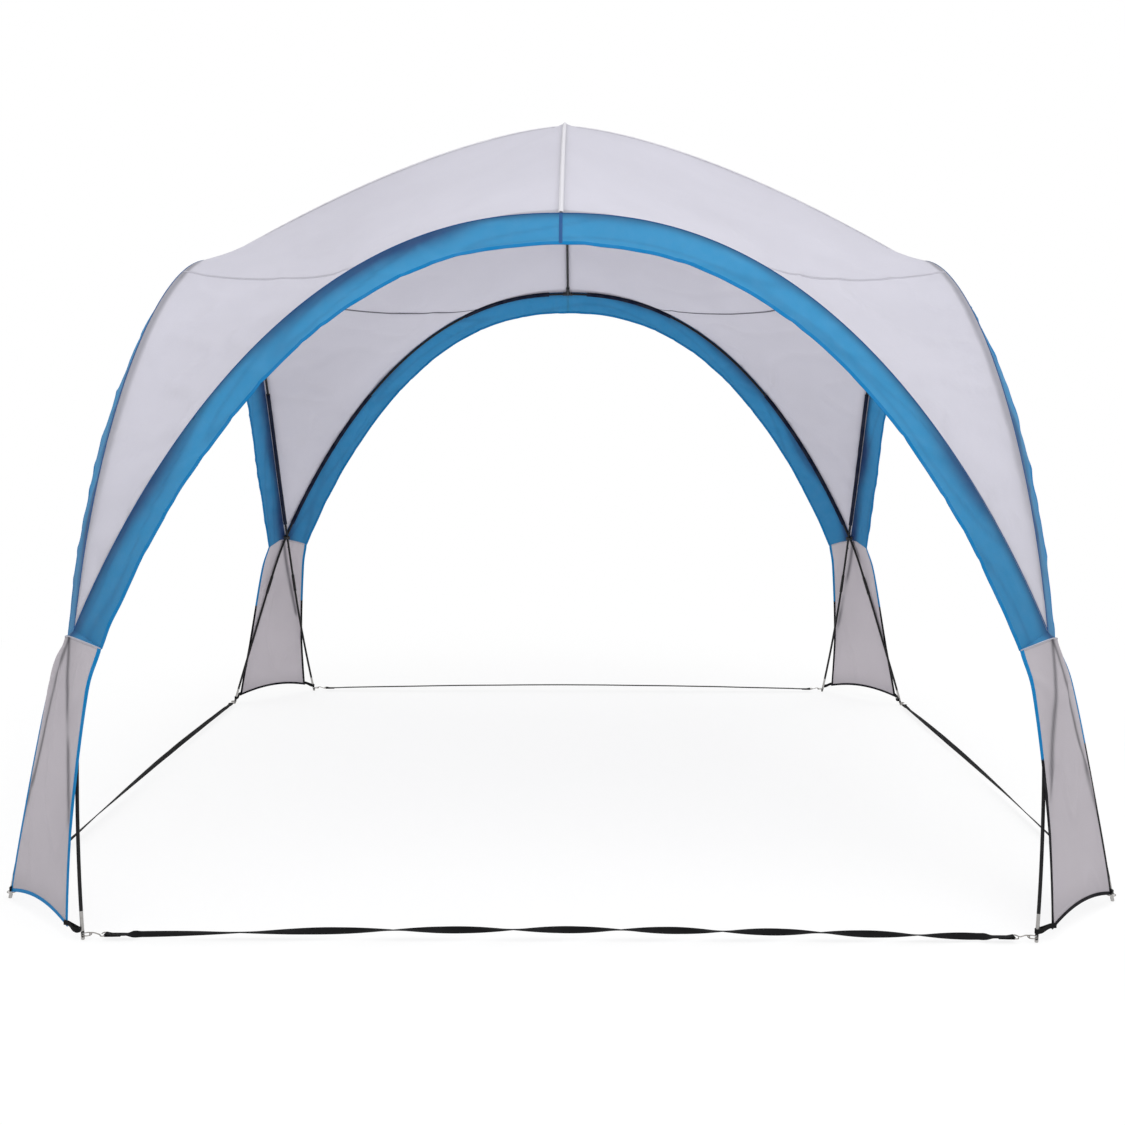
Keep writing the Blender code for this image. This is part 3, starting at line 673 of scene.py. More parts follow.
def roof_surface():
    """The front right quarter of the roof, drawn tight between two seams and two ridges."""
    share = np.linspace(0, 1, ROOF_STEPS + 1)
    seam = seam_curve(np.linspace(-1, 1, 2 * ROOF_STEPS + 1))[0]
    front = seam[:ROOF_STEPS - 1:-1]
    side = turned(seam[:ROOF_STEPS + 1], 1)
    ridge = ridge_cloth_curve(share)
    cross = turned(ridge, 1)
    u = share[None, :, None]
    v = share[:, None, None]
    grid = front[None] * (1 - v) + cross[None] * v + side[:, None] * (1 - u) + ridge[:, None] * u
    grid -= front[0] * (1 - u) * (1 - v) + front[-1] * u * (1 - v)
    grid -= side[-1] * (1 - u) * v + ridge[-1] * u * v
    for _ in range(ROOF_ROUNDS):
        inner = grid[:-2, 1:-1] + grid[2:, 1:-1] + grid[1:-1, :-2] + grid[1:-1, 2:]
        grid[1:-1, 1:-1] = inner / 4
    return grid


def sampled(grid, u, v):
    """Points of a grid at shares u along its rows and v down its columns."""
    rows, columns = grid.shape[0] - 1, grid.shape[1] - 1
    x, y = np.clip(u, 0, 1) * columns, np.clip(v, 0, 1) * rows
    i = np.minimum(x.astype(int), columns - 1)
    j = np.minimum(y.astype(int), rows - 1)
    fx, fy = (x - i)[..., None], (y - j)[..., None]
    near = grid[j, i] * (1 - fx) + grid[j, i + 1] * fx
    far = grid[j + 1, i] * (1 - fx) + grid[j + 1, i + 1] * fx
    return near * (1 - fy) + far * fy


def edge_distance(grid):
    """How far each point is from the nearest edge of its grid, about, in metres."""
    lengths = grid_lengths(grid)
    u, v = lengths[..., 0], lengths[..., 1]
    return np.minimum(np.minimum(u, u[:, -1:] - u), np.minimum(v, v[-1:] - v))


def ridge_distance(lengths):
    """How far each point of the roof is from the nearer ridge, from the roof's grid_lengths."""
    u, v = lengths[..., 0], lengths[..., 1]
    return np.minimum(u[:, -1:] - u, v[-1:] - v)


def roof_wrinkles(grid, seed):
    """Height of the roof's folds: bunched at the corner, puckered at the ridges, slack between."""
    share = np.linspace(0, 1, ROOF_STEPS + 1)
    u, v = np.meshgrid(share, share)
    away = np.hypot(u, v)
    free = smooth(edge_distance(grid) / 0.05)
    waver = ripple(grid, 0.30, seed)
    bunch = np.sin(away * 78 + 3 * waver) * np.exp(-((away - 0.14) / 0.13) ** 2)
    slack = ripple(grid, 0.42, seed + 3)
    pull = creases(grid, 0.34, seed + 5, (1.0, 1.0, 2.6)) * smooth(1.2 - away)
    fine = ripple(grid, 0.09, seed + 8)
    lengths = grid_lengths(grid)
    to_ridge = ridge_distance(lengths)
    run = np.where(u > v, lengths[..., 1], lengths[..., 0])
    pucker = np.sin(run * 2 * math.pi / PUCKER_PITCH + 4 * waver) * np.exp(-(to_ridge / 0.022) ** 2)
    pucker *= smooth(to_ridge / 0.008)
    fold = ROOF_BUNCH * bunch + ROOF_SLACK * slack + ROOF_PULL * pull + ROOF_FINE * fine
    return fold * free + PUCKER * pucker


ROOF = roof_surface()
ROOF_NORMALS = grid_normals(ROOF)
if ROOF_NORMALS[ROOF_STEPS // 2, ROOF_STEPS // 2, 2] < 0:
    ROOF_NORMALS = -ROOF_NORMALS


def roof_panels():
    """The four quarters of the roof, with a painted shadow of the arch poles in broken patches beside the arches'
    seams, and a little darker along the ridges.
    """
    lengths = grid_lengths(ROOF)
    for index, corner in enumerate(CORNERS):
        grid = ROOF + ROOF_NORMALS * roof_wrinkles(ROOF, index + 1)[..., None]
        to_seam = np.minimum(lengths[..., 0], lengths[..., 1])
        # Painted shadow of the arch poles under the cloth, in broken patches beside each seam; then a little
        # darker along the ridges
        broken = smooth(0.9 + ripple(ROOF, 0.35, index + 140))
        tone = 0.95 * broken * np.exp(-((to_seam - SEAM_FLAT) / SEAM_SHADE) ** 2)
        tone += 0.18 * np.exp(-(ridge_distance(lengths) / 0.012) ** 2)
        mesh = sheet_mesh(f"{corner}_roof_cloth", turned(grid, index), uv=lengths, tone=tone)
        piece(mesh, "roof_fabric", replaces=[f"{corner}_roof_panel"])
        corner_seam(grid, index, corner)


def corner_seam(grid, index, corner):
    """The felled seam across a corner of the roof: a lap outside and a dark tape inside."""
    share = np.linspace(*SEAM_ENDS, 150)
    bow = SEAM_BOW * np.sin(math.pi * share)
    u = PANEL_SEAM * share + bow
    v = PANEL_SEAM * (1 - share) + bow
    normals = sampled(ROOF_NORMALS, u, v)
    for label, lift, look, half in CORNER_SEAM:
        shifts = np.array((-1, 0, 1)) * half / SEAM_SHARE_LENGTH
        strip = np.array([sampled(grid, u + shift, v + shift) for shift in shifts])
        mesh = sheet_mesh(f"{corner}_roof_{label}", turned(strip + normals * lift, index), 0.0008)
        piece(mesh, look)


def ridge_sleeves():
    """The pale sleeve over each half of the two ridges, puckered where it is sewn down."""
    share = np.linspace(SEAM_ENDS[0], 1.0, 150)
    width = grid_lengths(ROOF)[:, -1, 0]
    width = np.interp(share, np.linspace(0, 1, len(width)), width)
    for index, side in enumerate(SIDES):
        rows = []
        for step in np.linspace(-1, 1, 9):
            across = np.abs(step) * RIDGE_SLEEVE_HALF / width
            row = sampled(ROOF, 1 - across, share)
            normal = sampled(ROOF_NORMALS, 1 - across, share)
            if step < 0:
                row, normal = mirrored(row), mirrored(normal)
            crown = RIDGE_SLEEVE_CROWN * (1 - step * step) + RIDGE_SLEEVE_LIFT
            waver = ripple(row, 0.03, index + 40)[:, None]
            rows.append(row + normal * (crown + 0.0006 * waver))
        mesh = sheet_mesh(f"{side}_ridge_sleeve", turned(np.array(rows), index), 0.0009)
        piece(mesh, "ridge_tape")


# ---------------------------------------------------------------- bands and leg panels

EDGE_JOIN = 0.85        # how far a leg panel's upper corners are drawn to the bands' corners
BAND_ROWS = 17
BINDING_WIDTH = 0.0095
BINDING_PAST = 0.0016   # how far a binding stands past the edge that it is folded over
BINDING_TOTAL = 0.0030  # a binding's thickness, with the cloth inside it
BINDING_LAYER = 0.0013  # of its outer layer, which thins towards both edges
CENTRE_SEAM_HALF = 0.0052
BAND_SLACK = 0.0045     # heights of the folds of the bands and the leg panels
BAND_WAVES = 0.0018
BAND_PULL = 0.0040
PANEL_DRAPE = 0.0060
PANEL_PULL = 0.0040
PANEL_FINE = 0.0007
BLUE_CORNER = "front_left"      # this leg panel is bound in blue all round, and the others in black
BLACK_BELOW = 0.52              # along the hem, and up to this height on their sides
TAB_HEIGHT = 0.031      # of the webbing tabs round the poles' tips
TAB_WIDTH = 0.014
TAB_OFF = 0.0016        # from the pole to the middle of the webbing
TAB_HALF_GAP = 0.0014   # between its two layers on the panel
TAB_LAP = 0.012         # on the panel
TAB_SPLIT = 0.010       # before the pole, where the loop opens to its full width


def band_reach(s, inwards):
    """From the seam to the band's lower edge, at places s along the arch."""
    end = np.abs(s)[:, None] ** END_POWER
    flare = BAND_FLARE - END_UNFLARE * end
    width = BAND_WIDTH + END_GROWTH * end
    return width * (np.cos(flare) * inwards + np.sin(flare) * OUTWARD)


def right_leg(z):
    """The front arch's left leg turned to the front right corner, which its panel is drawn from."""
    return turned(arch_points(z, SEPARATION, -1), 1)


def panel_grid(z, share):
    """Points of the front right leg panel at heights z and shares from front leg to right leg."""
    s = np.linspace(-1, 1, 81)
    seam, inwards = seam_curve(s)
    ends = seam + band_reach(s, inwards)
    front_reach = ends[-1] - arch_points(CROSS_Z, SEPARATION)
    side_reach = turned(ends[0] - arch_points(CROSS_Z, SEPARATION, -1), 1)
    high = NARROW_PAST + (1 - NARROW_PAST) * (z - NARROW_Z) / (CROSS_Z - NARROW_Z)
    low = FOOT_PAST + (NARROW_PAST - FOOT_PAST) * z / NARROW_Z
    past = np.where(z > NARROW_Z, high, low)[..., None]
    z = np.asarray(z)[..., None]
    out = CORNER_OUT * (FOOT_GAP + (PANEL_GAP - FOOT_GAP) * z / CROSS_Z)
    start = arch_points(z[..., 0], SEPARATION) + out + side_reach * past
    end = right_leg(z[..., 0]) + out + front_reach * past
    top = np.maximum(0, z - STRAIGHT_TOP) / (CROSS_Z - STRAIGHT_TOP)
    swell = CORNER_OUT * PANEL_SWELL * np.maximum(0, past) + UP * PANEL_PEAK * top
    share = share[..., None]
    # Near the crossing, the side edges run up into the bands' lower corners
    high_start = arch_points(CROSS_Z, SEPARATION) + CORNER_OUT * PANEL_GAP + side_reach
    high_end = right_leg(CROSS_Z) + CORNER_OUT * PANEL_GAP + front_reach
    rise = EDGE_JOIN * smooth((z - STRAIGHT_TOP) / (CROSS_Z - STRAIGHT_TOP)) ** 2
    drawn = (turned(ends[0], 1) - high_start) * (1 - share) ** 2 + (ends[-1] - high_end) * share ** 2
    return start * (1 - share) + end * share + swell * np.sin(math.pi * share) + rise * drawn


def band_grid():
    """The band of the front arch: rows from the seam down, columns from end to end."""
    s = np.linspace(-1, 1, 241)
    seam, inwards = seam_curve(s)
    share = np.linspace(0, 1, BAND_ROWS)
    main = seam[None] + share[:, None, None] * band_reach(s, inwards)[None]
    corner = panel_grid(np.full(BAND_ROWS, CROSS_Z), 0.5 + 0.5 * share) + BAND_TO_PANEL
    step = np.linspace(0, 1, 11)[1:][None, :, None]
    right = main[:, -1:] * (1 - step) + corner[:, None] * step
    left = mirrored(right)[:, ::-1]
    return np.concatenate([left, main, right], axis=1), share


def band_tone(base, share, uv, to_end, index):
    """A painted shadow of the pole and its sleeve behind the band, in broken patches below the seam; darker
    towards the band's ends; and painted crease shade in streaks along it.
    """
    down = uv[..., 1]
    # Painted shadow of the pole and its sleeve behind the band, in broken patches below the seam
    broken = smooth(0.45 + 1.1 * ripple(base, 0.40, index + 150))
    tone = (0.55 + 0.40 * broken) * np.exp(-(down / (0.018 + 0.032 * broken)) ** 2)
    tone += 0.22 * smooth(1 - to_end / 0.9)
    # Painted crease shade, in streaks along the band
    drawn = np.stack([0.30 * uv[..., 0] + down, 1.8 * down, 0 * down], -1)
    return tone + 0.16 * creases(drawn, 0.16, index + 160) * smooth(share / 0.2)[:, None]


def arch_bands():
    """The four bands: cloth with slack and pulled folds where it is free of its seams."""
    base, share = band_grid()
    normals = grid_normals(base)
    if normals[BAND_ROWS // 2, base.shape[1] // 2, 1] > 0:
        normals = -normals
    lengths = grid_lengths(base)
    along = lengths[0, :, 0]
    to_end = np.minimum(along, along[-1] - along)
    free = smooth(share / 0.35)[:, None] * smooth(to_end / 0.12)
    uv = np.stack([np.broadcast_to(along, base.shape[:2]), lengths[..., 1]], -1)
    for index, side in enumerate(SIDES):
        slack = ripple(base, 0.16, index + 60)
        waves = ripple(base, 0.055, index + 64, (1.0, 0.3, 1.0))
        pull = creases(base, 0.15, index + 68)
        fold = (BAND_SLACK * slack + BAND_WAVES * waves + BAND_PULL * pull) * free
        grid = base + normals * fold[..., None]
        tone = band_tone(base, share, uv, to_end, index)
        mesh = sheet_mesh(f"{side}_band_cloth", turned(grid, index), uv=uv, tone=tone)
        piece(mesh, "band_fabric", replaces=[f"{side}_arch_band"])
        band_details(grid, normals, index, side)


def edge_strip(grid, edge, count):
    """The border of a cloth grid at its low, start or end edge, from just past the edge inwards."""
    if edge == "start":
        grid = grid[:, ::-1]
    if edge != "low":
        grid = grid.swapaxes(0, 1)
    share = np.linspace(0, 1, count)
    total = np.interp(share, np.linspace(0, 1, grid.shape[1]), grid_lengths(grid)[-1, :, 1])
    steps = (0.0, 0.3, 0.6, 1.0)
    rows = [sampled(grid, share, 1 - step * BINDING_WIDTH / total) for step in steps]
    rows.insert(0, rows[0] + unit(rows[0] - rows[1]) * BINDING_PAST)
    return np.array(rows)


def binding(name, grid, edge, count, index, look, black_below=None):
    """Tape folded over an edge of the cloth, a little wavy along its stitching."""
    strip = edge_strip(grid, edge, count)
    thick = BINDING_LAYER + 0.0003 * ripple(strip, 0.02, index + 120)
    thick = thick * np.array((0.5, 1, 1, 1, 0.8))[:, None]
    tone = np.zeros(strip.shape[:2])
    if black_below is not None:
        tone = smooth((black_below - strip[..., 2]) / 0.004)
    bulge = thick - BINDING_LAYER
    mesh = sheet_mesh(name, turned(strip, index), BINDING_TOTAL, tone=tone, bulge=bulge)
    piece(mesh, look)


def band_details(grid, normals, index, side):
    """The bound lower edge, a welt along the arch seam, and the seam in the middle."""
    binding(f"{side}_band_binding", grid, "low", 420, index, "piping")
    seam = resampled(grid[0, 10:-10] + normals[0, 10:-10] * 0.0006, 360)
    piece(tube_mesh(f"{side}_seam_welt", turned(seam, index), 0.0017, 8), "band_seam")
    share = np.linspace(0.02, 0.985, 40)
    middle = sampled(grid, np.full(len(share), 0.5), share)
    outward = normals[BAND_ROWS // 2, grid.shape[1] // 2]
    rows = []
    for step in np.linspace(-1, 1, 5):
        lift = outward * (0.0013 + 0.0007 * (1 - step * step))
        rows.append(middle + np.array((step * CENTRE_SEAM_HALF, 0, 0)) + lift)
    mesh = sheet_mesh(f"{side}_band_centre_seam", turned(np.array(rows), index), 0.0009)
    piece(mesh, "band_seam")


def pole_shadow(base, z, index):
    """Where the two poles of a corner show through its leg panel, in broken streaks."""
    shade = 0
    for number, pole in enumerate(corner_legs(z, SEPARATION)):
        beside = ((base - pole) * CORNER_ACROSS).sum(-1)
        broken = smooth(1.2 + 2.0 * ripple(pole, 0.16, index * 2 + number + 130, (0, 0, 1)))
        touch = broken * smooth((z - 0.22) / 0.20)
        shade = shade + 0.75 * touch * np.exp(-(beside / 0.0075) ** 2)
    return shade


def leg_panels():
    """The four leg panels: cloth drawn tight outside a corner's legs, with a hem that curves up."""
    share = np.linspace(0, 1, 41)
    fall = np.linspace(0, 1, 97)
    side = 2 * share - 1
    bottom = PANEL_BOTTOM + PANEL_HOLLOW * (1 - side * side)
    z = CROSS_Z + (bottom - CROSS_Z)[None] * fall[:, None]
    base = panel_grid(z, np.broadcast_to(share, z.shape))
    normals = grid_normals(base)
    if normals[len(fall) // 2, len(share) // 2].dot(CORNER_OUT) < 0:
        normals = -normals
    lengths = grid_lengths(base)
    to_edge = np.minimum(lengths[..., 0], lengths[:, -1:, 0] - lengths[..., 0])
    free = smooth(to_edge / 0.03) * smooth((CROSS_Z - z) / 0.06) * smooth((z - bottom) / 0.05)
    for index, corner in enumerate(CORNERS):
        drape = ripple(base, 0.11, index + 80, (1.0, 1.0, 0.22))
        pull = creases(base, 0.12, index + 84, (1.0, 1.0, 0.25))
        fine = ripple(base, 0.05, index + 88)
        fold = (PANEL_DRAPE * drape + PANEL_PULL * pull + PANEL_FINE * fine) * free
        grid = base + normals * fold[..., None]
        tone = 0.20 * smooth((0.14 - z) / 0.15) + pole_shadow(base, z, index)
        mesh = sheet_mesh(f"{corner}_leg_cloth", turned(grid, index), uv=lengths, tone=tone)
        piece(mesh, "leg_fabric", replaces=[f"{corner}_leg_panel"])
        panel_details(grid, index, corner)


def panel_details(grid, index, corner):
    """Bindings round a leg panel, the join with the bands, and the webbing tabs to the feet."""
    blue = corner == BLUE_CORNER
    black_below = None if blue else BLACK_BELOW
    for edge in ("start", "end"):
        name = f"{corner}_leg_{edge}_binding"
        binding(name, grid, edge, 200, index, "binding", black_below)
    look = "piping" if blue else "black_binding"
    binding(f"{corner}_leg_hem", grid, "low", 90, index, look)
    name = f"{corner}_leg_join"
    join = turned(resampled(grid[0] + 0.001 * UP, 80), index)
    piece(tube_mesh(name, join, 0.0022, 8), "roof_fabric")
    feet = corner_legs(TAB_HEIGHT, SEPARATION)
    for label, point, foot in zip(("start", "end"), (grid[-1, 0], grid[-1, -1]), feet):
        panel_tab(f"{corner}_leg_{label}_tab", point, foot, index)


def panel_tab(name, point, foot, index):
    """A webbing loop from the lower corner of a leg panel round the tip of its pole."""
    along = (foot - point) * LEVEL
    length = np.linalg.norm(along)
    along = along / length
    sideways = np.array((-along[1], along[0], 0))
    angles = np.radians(np.linspace(90, -90, 13))
    radius = POLE_R + TAB_OFF
    out = np.linspace(-TAB_LAP, length - TAB_SPLIT, 10)
    near = TAB_HALF_GAP + (radius - TAB_HALF_GAP) * smooth(out / (length - TAB_SPLIT)) ** 2
    path = np.concatenate([
        np.stack([out, near], -1),
        np.stack([length + radius * np.cos(angles), radius * np.sin(angles)], -1),
        np.stack([out[::-1], -near[::-1]], -1),
    ])
    fall = smooth(path[:, 0] / length)
    height = (point[2] + 0.010) * (1 - fall) + TAB_HEIGHT * fall
    line = point * LEVEL + np.outer(path[:, 0], along) + np.outer(path[:, 1], sideways)
    line[:, 2] += height
    steps = np.linspace(-1, 1, 5) * TAB_WIDTH / 2
    grid = line[None] + steps[:, None, None] * UP
    uv = grid_lengths(grid)
    uv[..., 1] -= TAB_WIDTH / 2
    mesh = sheet_mesh(name, turned(grid, index), 0.0014, uv=uv)
    piece(mesh, "webbing")


# ---------------------------------------------------------------- poles

FERRULE_R = 0.0075
FERRULE_LENGTH = 0.090
FERRULE_START = 0.020   # up the straight stretch of the leg
FERRULE_LAP = 0.0005    # the leg runs into the ferrule by this much
TIP_HEIGHT = 0.078      # of the bright end fitting
TIP_BEVEL = 0.0015
TIP_BEVEL_IN = 0.0012
TIP_HOLE_R = 0.0039
DRILL_HALF = 0.012
JOINT_PLACE = 0.70      # of a ridge pole's joint sleeves, from the apex
JOINT_HALF = 0.035
JOINT_PAST = 0.0009
HUB_SOCKET = 0.020      # from an arch pole's axis to the end of the ridge pole in the hub


def pole_pieces():
    for index, side in enumerate(SIDES):
        separation = separation_of(index)
        crown_rod(index, f"{side}_crown_rod", f"{side}_arch_crown_pole", separation)
        for sign, label in zip((-1, 1), FEET[index]):
            leg_rod(index, sign, f"{side}_arch_{label}", separation)
    ridge_rods()


def crown_rod(index, name, node, separation):
    """The bent pole of an arch, from the straight stretch of one leg over to the other's."""
    crown = crown_curve(np.linspace(-1, 1, 401), separation)
    foot = arch_points(STRAIGHT_LOW, separation)
    upwards = unit(arch_points(STRAIGHT_TOP, separation) - foot)
    start = foot + FERRULE_START * upwards
    bend = arch_points(np.linspace(STRAIGHT_TOP, CROSS_Z, 12)[:-1], separation)
    line = np.concatenate([[start], bend, crown[:200:-1]])
    curve = resampled(np.concatenate([mirrored(line), [crown[200]], line[::-1]]), 480)
    from_ends = [np.linalg.norm(curve - end, axis=1) for end in (start, mirrored(start))]
    radii = np.where(np.minimum(*from_ends) < FERRULE_LENGTH, FERRULE_R, POLE_R)
    mesh = tube_mesh(name, turned(curve, index), radii, 14, tone=np.zeros(len(curve)))
    piece(mesh, "pole", replaces=[node])


def leg_rod(index, sign, base, separation):
    """A leg pole with a bright end fitting, and the cross hole that the foot ring passes through."""
    z = np.concatenate([[0, TIP_BEVEL, 0.028], np.linspace(0.04, STRAIGHT_LOW, 40)])
    curve = arch_points(z, separation, sign)
    curve[1] = curve[0] + TIP_BEVEL * UP
    upwards = unit(arch_points(STRAIGHT_TOP, separation, sign) - curve[-1])
    curve = np.concatenate([curve, [curve[-1] + (FERRULE_START + FERRULE_LAP) * upwards]])
    # Two close rings of points, so that the fitting ends sharply
    tip = np.interp([TIP_HEIGHT - 0.0005, TIP_HEIGHT + 0.0005], z, np.arange(len(z)))
    whole = np.arange(len(curve))
    where = np.sort(np.concatenate([whole, tip]))
    curve = np.stack([np.interp(where, whole, curve[:, i]) for i in range(3)], -1)
    radii = np.full(len(curve), POLE_R)
    radii[0] = POLE_R - TIP_BEVEL_IN
    tone = (curve[:, 2] < TIP_HEIGHT).astype(float)
    mesh = tube_mesh(f"{base}_leg_rod", turned(curve, index), radii, 16, tone=tone)
    made = piece(mesh, "pole", replaces=[f"{base}_leg_pole"])
    centre = arch_points(0.0, separation, sign) + RING_Z * UP
    side = np.array((DRILL_HALF, 0, 0))
    drill(made, turned(centre - side, index), turned(centre + side, index), TIP_HOLE_R)


def drill(target, start, end, radius):
    """Cuts a round hole through a piece; the hole's walls have the tip's bright finish."""
    tool = tube_mesh("drill", [start, end], radius, 20, tone=np.ones(2))
    cutter = bpy.data.objects.new("drill", tool)
    bpy.context.scene.collection.objects.link(cutter)
    cut = target.modifiers.new("drill", "BOOLEAN")
    cut.operation = "DIFFERENCE"
    cut.object = cutter
    cut.solver = "EXACT"
    graph = bpy.context.evaluated_depsgraph_get()
    mesh = bpy.data.meshes.new_from_object(target.evaluated_get(graph))
    target.modifiers.clear()
    target.data = mesh
    bpy.data.objects.remove(cutter)


def ridge_rods():
    """The two ridge poles, each with a joint sleeve near the middle of each half."""
    end = REACH - HUB_SOCKET
    y = np.linspace(-end, end, 240)
    radii = np.where(np.abs(np.abs(y) - JOINT_PLACE) < JOINT_HALF, POLE_R + JOINT_PAST, POLE_R)
    for turn, (label, drop) in enumerate((("long", 0.0), ("cross", RIDGE_DROP))):
        name = f"{label}_ridge_rod"
        curve = turned(ridge_points(y, drop), turn)
        mesh = tube_mesh(name, curve, radii, 14, tone=np.zeros(len(y)))
        piece(mesh, "pole", replaces=[f"{label}_ridge_pole"])


# Each arch's sleeves, as (name, from, to) in shares of the way from a crossing to the top
SLEEVES = (("lower", 0.03, 0.36), ("upper", 0.70, 0.955))
SLEEVE_R = 0.0092
SLEEVE_PLAY = 0.0009    # between the pole and the sleeve's inside
SLEEVE_DRAWN = 0.22     # towards its seam


def pole_sleeves():
    for index, side in enumerate(SIDES):
        for label, low, high in SLEEVES:
            for sign, foot in zip((-1, 1), FEET[index]):
                s = np.sort(sign * (1 - np.linspace(low, high, 90)))
                crown = crown_curve(s, separation_of(index))
                reach = SLEEVE_R + 0.0007 * ripple(crown, 0.05, index * 7 + sign)
                name = f"{side}_arch_{foot}_{label}_sleeve"
                piece(sleeve_mesh(name, crown, reach, index), "sleeve")


def sleeve_mesh(name, crown, reach, index):
    """A cloth tunnel round a pole, drawn out towards the seam that it is sewn to."""
    seam = towards_seam(inward_normals(crown))
    sideways = np.cross(unit(np.gradient(crown, axis=0)), seam)
    angles = np.linspace(0, 2 * math.pi, 18, endpoint=False)
    cos, sin = np.cos(angles), np.sin(angles)
    drawn = 1 + SLEEVE_DRAWN * np.maximum(0, cos) ** 3
    wrinkle = 1 + 0.04 * ripple(crown[:, None] + 0.02 * cos[None, :, None], 0.02, index + 90)
    radius = reach[:, None] * drawn[None] * wrinkle
    ring = cos[None, :, None] * seam[:, None] + sin[None, :, None] * sideways[:, None]
    points = crown[:, None] + ring * radius[..., None]
    inner = crown[:, None] + ring * (POLE_R + SLEEVE_PLAY)
    count, sides = points.shape[:2]
    faces = grid_faces(count, sides, wrap=True)
    total = count * sides
    faces += [tuple(i + total for i in f)[::-1] for f in faces]
    last = total - sides
    for i in range(sides):
        j = (i + 1) % sides
        faces.append((j, i, i + total, j + total))
        faces.append((last + i, last + j, last + j + total, last + i + total))
    length = np.cumsum(np.linalg.norm(np.gradient(crown, axis=0), axis=1))
    uv = np.stack(np.broadcast_arrays(length[:, None], angles[None] * 0.01), -1).reshape(-1, 2)
    both = turned(np.concatenate([points.reshape(-1, 3), inner.reshape(-1, 3)]), index)
    return make_mesh(name, both, faces, np.concatenate([uv, uv]), np.zeros(len(both)))


# ---------------------------------------------------------------- hubs, ties and toggles

HUB_WALL_R = HUB_R - 0.0006
HUB_WEB = 0.0022
# Along an arch pole from the hub's middle, and along a ridge pole from its end, the hub's places and
# how far its rims stand out there
SLEEVE_PROFILE = ((0.0205, 0.0), (0.021, 0.0013), (0.023, 0.0013), (0.024, 0.0005))
SOCKET_PROFILE = ((-0.020, 0.0), (0.024, 0.0), (0.0245, 0.0013), (0.0285, 0.0013), (0.029, 0.0006))


def hub_pieces():
    """Moulded tees on top of the arches: a sleeve, a socket for the ridge pole, and two webs."""
    for index, side in enumerate(SIDES):
        drop = RIDGE_DROP * (index % 2)
        top = arch_points(ARCH_HEIGHT, separation_of(index))
        start = ridge_points(HUB_SOCKET - REACH, drop)
        along = unit(ridge_points(2 * HUB_SOCKET - REACH, drop) - start)
        across = np.array((1.0, 0.0, 0.0))
        bm = bmesh.new()
        place, rim = np.array(SLEEVE_PROFILE).T
        place, rim = np.concatenate([-place[::-1], place]), np.concatenate([rim[::-1], rim])
        add_tube(bm, top + np.outer(place, across), HUB_WALL_R + rim)
        place, rim = np.array(SOCKET_PROFILE).T
        add_tube(bm, start + np.outer(place, along), HUB_WALL_R + rim)
        for sign in (-1, 1):
            near, far = top + sign * 0.004 * across, top + sign * 0.020 * across
            add_web(bm, [near, far, start + HUB_SOCKET * along], HUB_WEB)
        mesh = bpy.data.meshes.new(f"{side}_hub_tee")
        bmesh.ops.transform(bm, matrix=Matrix.Rotation(index * math.pi / 2, 4, "Z"), verts=bm.verts)
        bmesh.ops.recalc_face_normals(bm, faces=bm.faces)
        bm.to_mesh(mesh)
        bm.free()
        mesh.set_sharp_from_angle(angle=math.radians(40))
        piece(mesh, "hub", replaces=[f"{side}_arch_hub"])


def add_tube(bm, points, radii, sides=20):
    """Adds a capped tube round a curve to a bmesh."""
    first, second = frames_along(points)
    angles = np.linspace(0, 2 * math.pi, sides, endpoint=False)
    rings = []
    for point, a, b, radius in zip(points, first, second, radii):
        offset = np.outer(np.cos(angles), a) + np.outer(np.sin(angles), b)
        rings.append([bm.verts.new(p) for p in point + radius * offset])
    for low, high in zip(rings, rings[1:]):
        for i in range(sides):
            j = (i + 1) % sides
            bm.faces.new((low[i], low[j], high[j], high[i])).smooth = True
    bm.faces.new(rings[0][::-1])
    bm.faces.new(rings[-1])


def add_web(bm, corners, thickness):
    """A flat triangular web between three points."""
    normal = unit(np.cross(corners[1] - corners[0], corners[2] - corners[0])) * thickness / 2
    upper = [bm.verts.new(c + normal) for c in corners]
    lower = [bm.verts.new(c - normal) for c in corners]
    bm.faces.new(upper)
    bm.faces.new(lower[::-1])
    for i in range(3):
        j = (i + 1) % 3
        bm.faces.new((upper[j], upper[i], lower[i], lower[j]))


def crossing_axes(index):
    """Middle of a crossing, and its sideways, outward and upward directions."""
    middle = sum(corner_legs(CROSS_Z, SEPARATION)) / 2
    lower = sum(corner_legs(STRAIGHT_TOP, 0)) / 2
    upward = unit(middle - lower)
    out = unit(np.cross(CORNER_ACROSS, upward))
    return [turned(v, index) for v in (middle, CORNER_ACROSS, out, upward)]


TIE_REACH = 0.0132      # from the crossing's middle to the middle of the cord round it
TIE_CORD_R = 0.0011
TIE_TURNS = 6
TIE_HALF = 0.0066       # half its height
BALL_R = 0.0065
TOGGLE_CORD_R = 0.0014


def corner_fittings():
    """A wound elastic tie and a toggle at each crossing."""
    for index, corner in enumerate(CORNERS):
        middle, across, out, upward = crossing_axes(index)
        turns = np.linspace(0, TIE_TURNS * 2 * math.pi, TIE_TURNS * 40)
        height = np.linspace(-TIE_HALF, TIE_HALF, len(turns))
        # A squared circle: the cord lies flat against the two poles and rounds their outer sides
        square = (np.abs(np.cos(turns)) ** 4 + np.abs(np.sin(turns)) ** 4) ** -0.25
        x, y = TIE_REACH * square * np.cos(turns), TIE_REACH * square * np.sin(turns)
        curve = middle + np.outer(x, across) + np.outer(y, out) + np.outer(height, upward)
        mesh = tube_mesh(f"{corner}_elastic_tie", curve, TIE_CORD_R, 8)
        piece(mesh, "cord", replaces=[f"{corner}_corner_tie"])
        toggle(corner)


